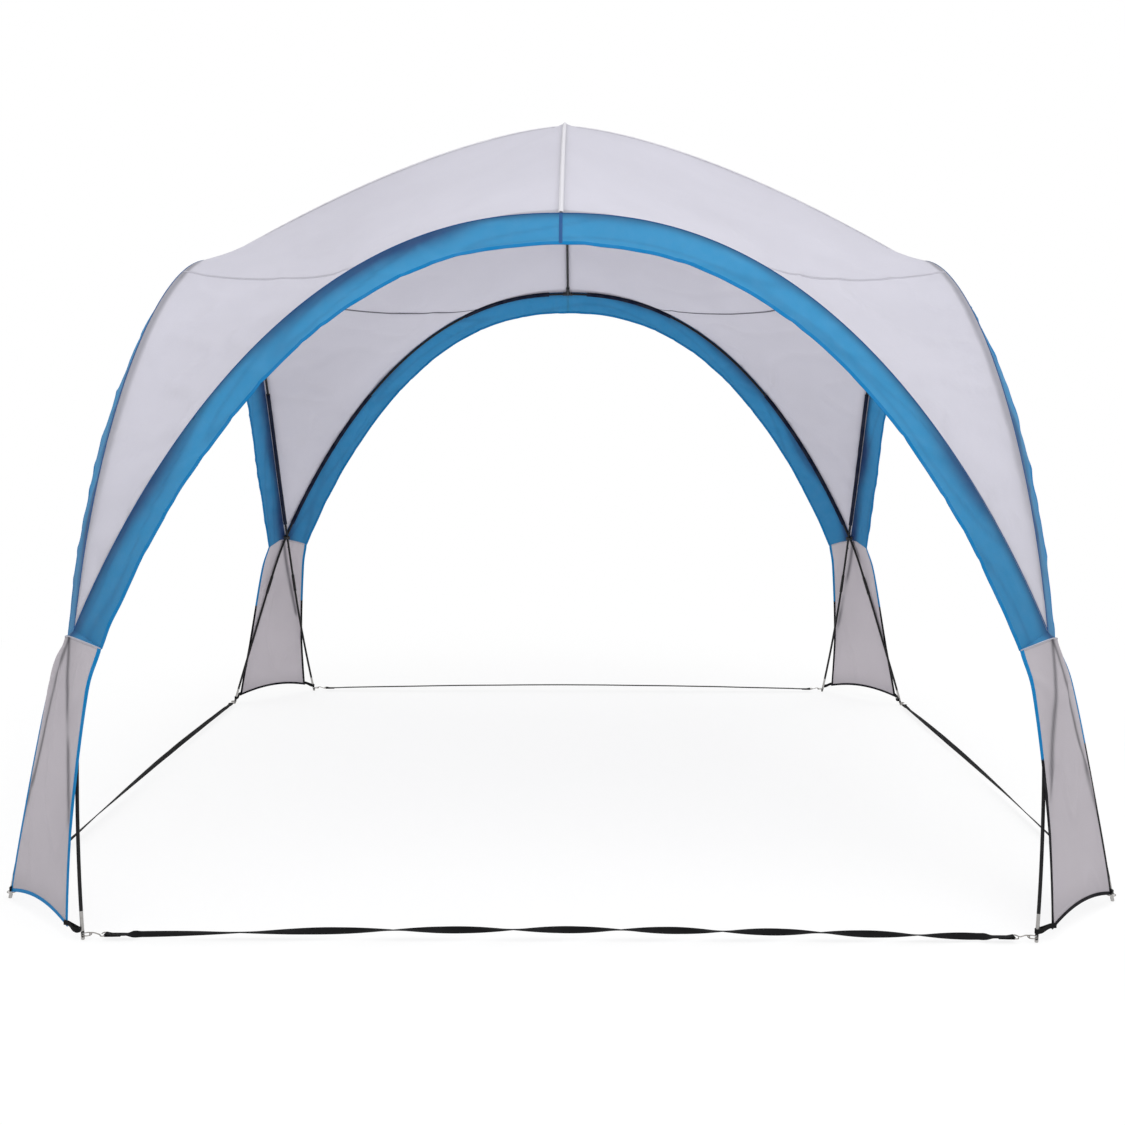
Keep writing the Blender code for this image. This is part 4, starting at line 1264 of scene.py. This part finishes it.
def toggle(corner):
    """A ball on a loop of elastic cord, which hangs inside the crossing."""
    body = f"{corner}_corner_toggle"
    top = np.array(JOINTS[f"{corner}_toggle_swing"]["pos_m"])
    length = top[2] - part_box(body)[0].z - BALL_R
    depth = np.concatenate([[0, 0.001], np.linspace(0.003, length - 0.006, 24)])
    radii = np.full(len(depth), TOGGLE_CORD_R)
    radii[0] = 0.0008
    piece(tube_mesh(f"{corner}_toggle_cord", top - np.outer(depth, UP), radii, 10), "cord", body)
    angle = np.linspace(0.12, math.pi - 0.12, 24)
    curve = top - np.outer(length + BALL_R * np.cos(angle), UP)
    groove = 1 - 0.06 * np.exp(-((angle - math.pi / 2) / 0.12) ** 2)
    radii = BALL_R * np.sin(angle) * groove
    mesh = tube_mesh(f"{corner}_toggle_ball", curve, radii, 24)
    piece(mesh, "hub", body, replaces=[body])


# ---------------------------------------------------------------- ground straps and feet

STRAP_WIDTH = 0.020
STRAP_THICK = 0.0020
STRAP_RISE = 0.018      # of a strap's middle above its ends
STRAP_CUP = 0.0020      # the webbing's edges curl up by this much away from its ends
HALF_TURNS = (7, 1, 0, -1)      # in the straps of the four sides
LOOP_LEAD = 0.096       # the twist's run along a strap: quick after the loop, then slower
LOOP_SHARE = 0.020
TURN_LAG = 0.138
LAG_POWER = 0.65
LOOP_R = 0.0033         # the loop at a strap's end, and its end that is sewn back
LOOP_BACK = 0.045
LOOP_GAP = 0.0025
LOOP_LEAN = 0.0006
LOOP_STRAIGHT = 0.010   # beyond the sewn-back end, before the twist starts


def turned_share(share):
    """How far the webbing has turned share of the way along a strap, as a share of all its turns."""
    from_loop = np.minimum(share, 1 - share) / LOOP_SHARE
    lead = LOOP_LEAD * smooth(from_loop)
    return share + lead - TURN_LAG * np.sin(math.pi * share ** LAG_POWER)


def strap_line(reach, half_turns):
    """The middle line of a strap between two hooks' bars, and the direction across it."""
    half = reach - LOOP_BACK - LOOP_STRAIGHT
    share = np.linspace(0, 1, 401)
    angle = math.pi * half_turns * turned_share(share)
    middle = np.stack([half * (2 * share - 1), 0 * share, STRAP_RISE * np.sin(math.pi * share)], -1)
    across = np.stack([0 * share, np.cos(angle), np.sin(angle)], -1)
    end = strap_end()
    flat = np.tile(np.array((0.0, 1.0, 0.0)), (len(end), 1))
    start_loop = np.stack([end[:, 0] - reach, 0 * end[:, 0], end[:, 1]], -1)
    end_loop = (start_loop * np.array((-1, 1, 1)))[::-1]
    line = np.concatenate([start_loop, middle[1:-1], end_loop])
    return line, np.concatenate([flat, across[1:-1], flat * (-1) ** half_turns])


def strap_pieces():
    """The webbing straps, twisted, curled and a little wavy, with a loop round a hook's bar at each end."""
    steps = np.linspace(-1, 1, 9)
    for index, side in enumerate(SIDES):
        neighbour = separation_of(index + 1)
        line, across = strap_line(FOOT_INSET + neighbour - EYE_END, HALF_TURNS[index])
        length = np.concatenate([[0], np.cumsum(np.linalg.norm(np.diff(line, axis=0), axis=1))])
        from_end = np.minimum(length, length[-1] - length)
        grid = line[None] + steps[:, None, None] * (STRAP_WIDTH / 2) * across[None]
        cup = STRAP_CUP * smooth((from_end - 0.12) / 0.05)
        normal = np.cross(np.array((1.0, 0.0, 0.0)), across)
        grid = grid + (steps[:, None, None] ** 2 - 0.4) * (cup[:, None] * normal)[None]
        waver = ripple(line, 0.20, index + 100)
        grid[..., 2] += 0.0008 * waver * smooth(from_end / 0.2)
        grid += np.array((0.0, -SPAN - neighbour, RING_Z))
        uv = np.stack(np.broadcast_arrays(length[None], steps[:, None] * STRAP_WIDTH / 2), -1)
        name = f"{side}_strap_webbing"
        body = f"{side}_ground_strap"
        mesh = sheet_mesh(name, turned(grid, index), STRAP_THICK, uv=uv)
        piece(mesh, "webbing", body, replaces=[body])


def strap_end():
    """(distance from the eye's bar, height) along the end loop, from the sewn-back end."""
    angles = np.radians(np.linspace(-90, -270, 17))
    loop = np.stack([LOOP_R * np.cos(angles), LOOP_R * np.sin(angles)], -1)
    back = np.linspace(LOOP_BACK, 0.012, 8)
    sewn = np.stack([back, -LOOP_GAP - LOOP_LEAN * smooth((LOOP_BACK - back) / 0.03)], -1)
    away = np.linspace(0.016, LOOP_BACK + LOOP_STRAIGHT, 8)
    return np.concatenate([sewn, loop, np.stack([away, 0 * away], -1)])


RING_R = 0.013
RING_WIRE = 0.0016
RING_PLAY = 0.0006      # how far the ring lies inwards in its hole
HOOK_WIRE = 0.0018
HOOK_R = 0.0050
EYE_HALF = 0.0150       # half the width of the hook's eye, and its start, measured from the foot
EYE_START = 0.054


def foot_pieces():
    """The steel ring and the wire hook at each foot."""
    angles = np.linspace(0, 2 * math.pi, 56, endpoint=False)
    ring = np.stack([np.sin(angles), -np.cos(angles), 0 * angles], -1) * RING_R
    ring += np.array((0, RING_R - RING_PLAY, RING_Z))
    hook = hook_curve() + np.array((0, EYE_END, RING_Z))
    for index, side in enumerate(SIDES):
        for sign, label in zip((-1, 1), FEET[index]):
            base = f"{side}_arch_{label}"
            foot = arch_points(0.0, separation_of(index), sign)
            mesh = tube_mesh(f"{base}_ring_wire", turned(foot + ring, index), RING_WIRE, 14, closed=True)
            piece(mesh, "steel", f"{base}_foot_ring", replaces=[f"{base}_foot_ring"])
            mesh = tube_mesh(f"{base}_hook_wire", turned(foot + hook, index), HOOK_WIRE, 14)
            piece(mesh, "steel", f"{base}_strap_hook", replaces=[f"{base}_strap_hook"])


def hook_curve():
    """A hook's bent wire, from its point over the bend and down the shank to the closed eye."""
    bend = 2 * RING_R - RING_PLAY - EYE_END
    shoulder = EYE_START - EYE_END
    arc = np.radians(np.linspace(180, 90, 9))
    tip = [(0, bend - HOOK_R, z) for z in (-0.0050, -0.0030, -0.0010)]
    turn = [(0, bend + HOOK_R * math.cos(a), HOOK_R * math.sin(a)) for a in arc]
    rest = [
        (0, bend + 0.008, HOOK_R),
        (0, shoulder - 0.009, 0.0005),
        (0.002, shoulder - 0.003, 0),
        (EYE_HALF, shoulder + 0.003, 0),
        (EYE_HALF, 0, 0),
        (-EYE_HALF, 0, 0),
        (-EYE_HALF, shoulder + 0.003, 0),
        (-0.005, shoulder + 0.0005, 0),
    ]
    return resampled(rounded(tip + turn + rest, 2), 150)


# ---------------------------------------------------------------- stage

FLOOR_REACH = 60.0
FLOOR_Z = -0.001
LAMP_PLACE = Vector((1.4, -4.0, 7.0))
LAMP_AIM = Vector((0.0, 0.0, 1.0))
CAMERA_PLACE = Vector((0.0528, -5.5758, 1.5628))
CAMERA_YAW = -0.0039    # radians
CAMERA_PITCH = -0.0937
CAMERA_ROLL = 0.0014
CAMERA_LENS = 43.15     # mm, on a 36 mm sensor
CAMERA_SHIFT = (-0.0089, -0.0261)


def build_stage():
    """A pale floor, a white surround and one large soft lamp."""
    mesh = bpy.data.meshes.new("floor")
    corners = [(x * FLOOR_REACH, y * FLOOR_REACH, FLOOR_Z) for x, y in ((-1, -1), (1, -1), (1, 1), (-1, 1))]
    mesh.from_pydata(corners, [], [(0, 1, 2, 3)])
    floor = bpy.data.objects.new("floor", mesh)
    bpy.context.scene.collection.objects.link(floor)
    mesh.materials.append(floor_look())
    surround()
    lamp = bpy.data.lights.new("key", "AREA")
    lamp.shape = "DISK"
    lamp.size = 5.0
    lamp.energy = 185
    key = bpy.data.objects.new("key", lamp)
    key.location = LAMP_PLACE
    key.rotation_euler = (LAMP_AIM - LAMP_PLACE).to_track_quat("-Z", "Y").to_euler()
    bpy.context.scene.collection.objects.link(key)


def surround():
    """White light, brighter from above. The camera sees plain white behind the shelter."""
    world = bpy.data.worlds.new("studio")
    bpy.context.scene.world = world
    g = Graph("studio", world)
    height = g.add("SeparateXYZ", {0: g.add("TexCoord").outputs["Generated"]}).outputs[2]
    by_height = g.ramp(height, -0.1, 1.0, 0.72, 1.12)
    seen = {0: g.add("LightPath").outputs["Is Camera Ray"], 2: by_height, 3: 1.0}
    back = g.add("Background", {"Color": WHITE, "Strength": g.add("Mix", seen).outputs[0]})
    g.add("OutputWorld", {0: back.outputs[0]})


def place_camera():
    """The camera stands in front of the middle of the shelter, at a standing person's eye height."""
    data = bpy.data.cameras.new("camera")
    data.sensor_width = 36.0
    data.lens = CAMERA_LENS
    data.shift_x, data.shift_y = CAMERA_SHIFT
    camera = bpy.data.objects.new("camera", data)
    # With no turns at all the camera would look level along +Y
    aim = Matrix.Rotation(-CAMERA_YAW, 4, "Z") @ Matrix.Rotation(math.pi / 2 + CAMERA_PITCH, 4, "X")
    camera.matrix_world = Matrix.Translation(CAMERA_PLACE) @ aim @ Matrix.Rotation(CAMERA_ROLL, 4, "Z")
    bpy.context.scene.collection.objects.link(camera)
    bpy.context.scene.camera = camera
    bpy.context.scene.view_settings.view_transform = "Standard"


roof_panels()
ridge_sleeves()
arch_bands()
leg_panels()
pole_pieces()
pole_sleeves()
hub_pieces()
corner_fittings()
strap_pieces()
foot_pieces()
clip = frame["nodes"]["apex_clip"].data     # shown as it is in the frame
clip.materials.clear()
clip.materials.append(LOOKS["hub"])
build_stage()
place_camera()
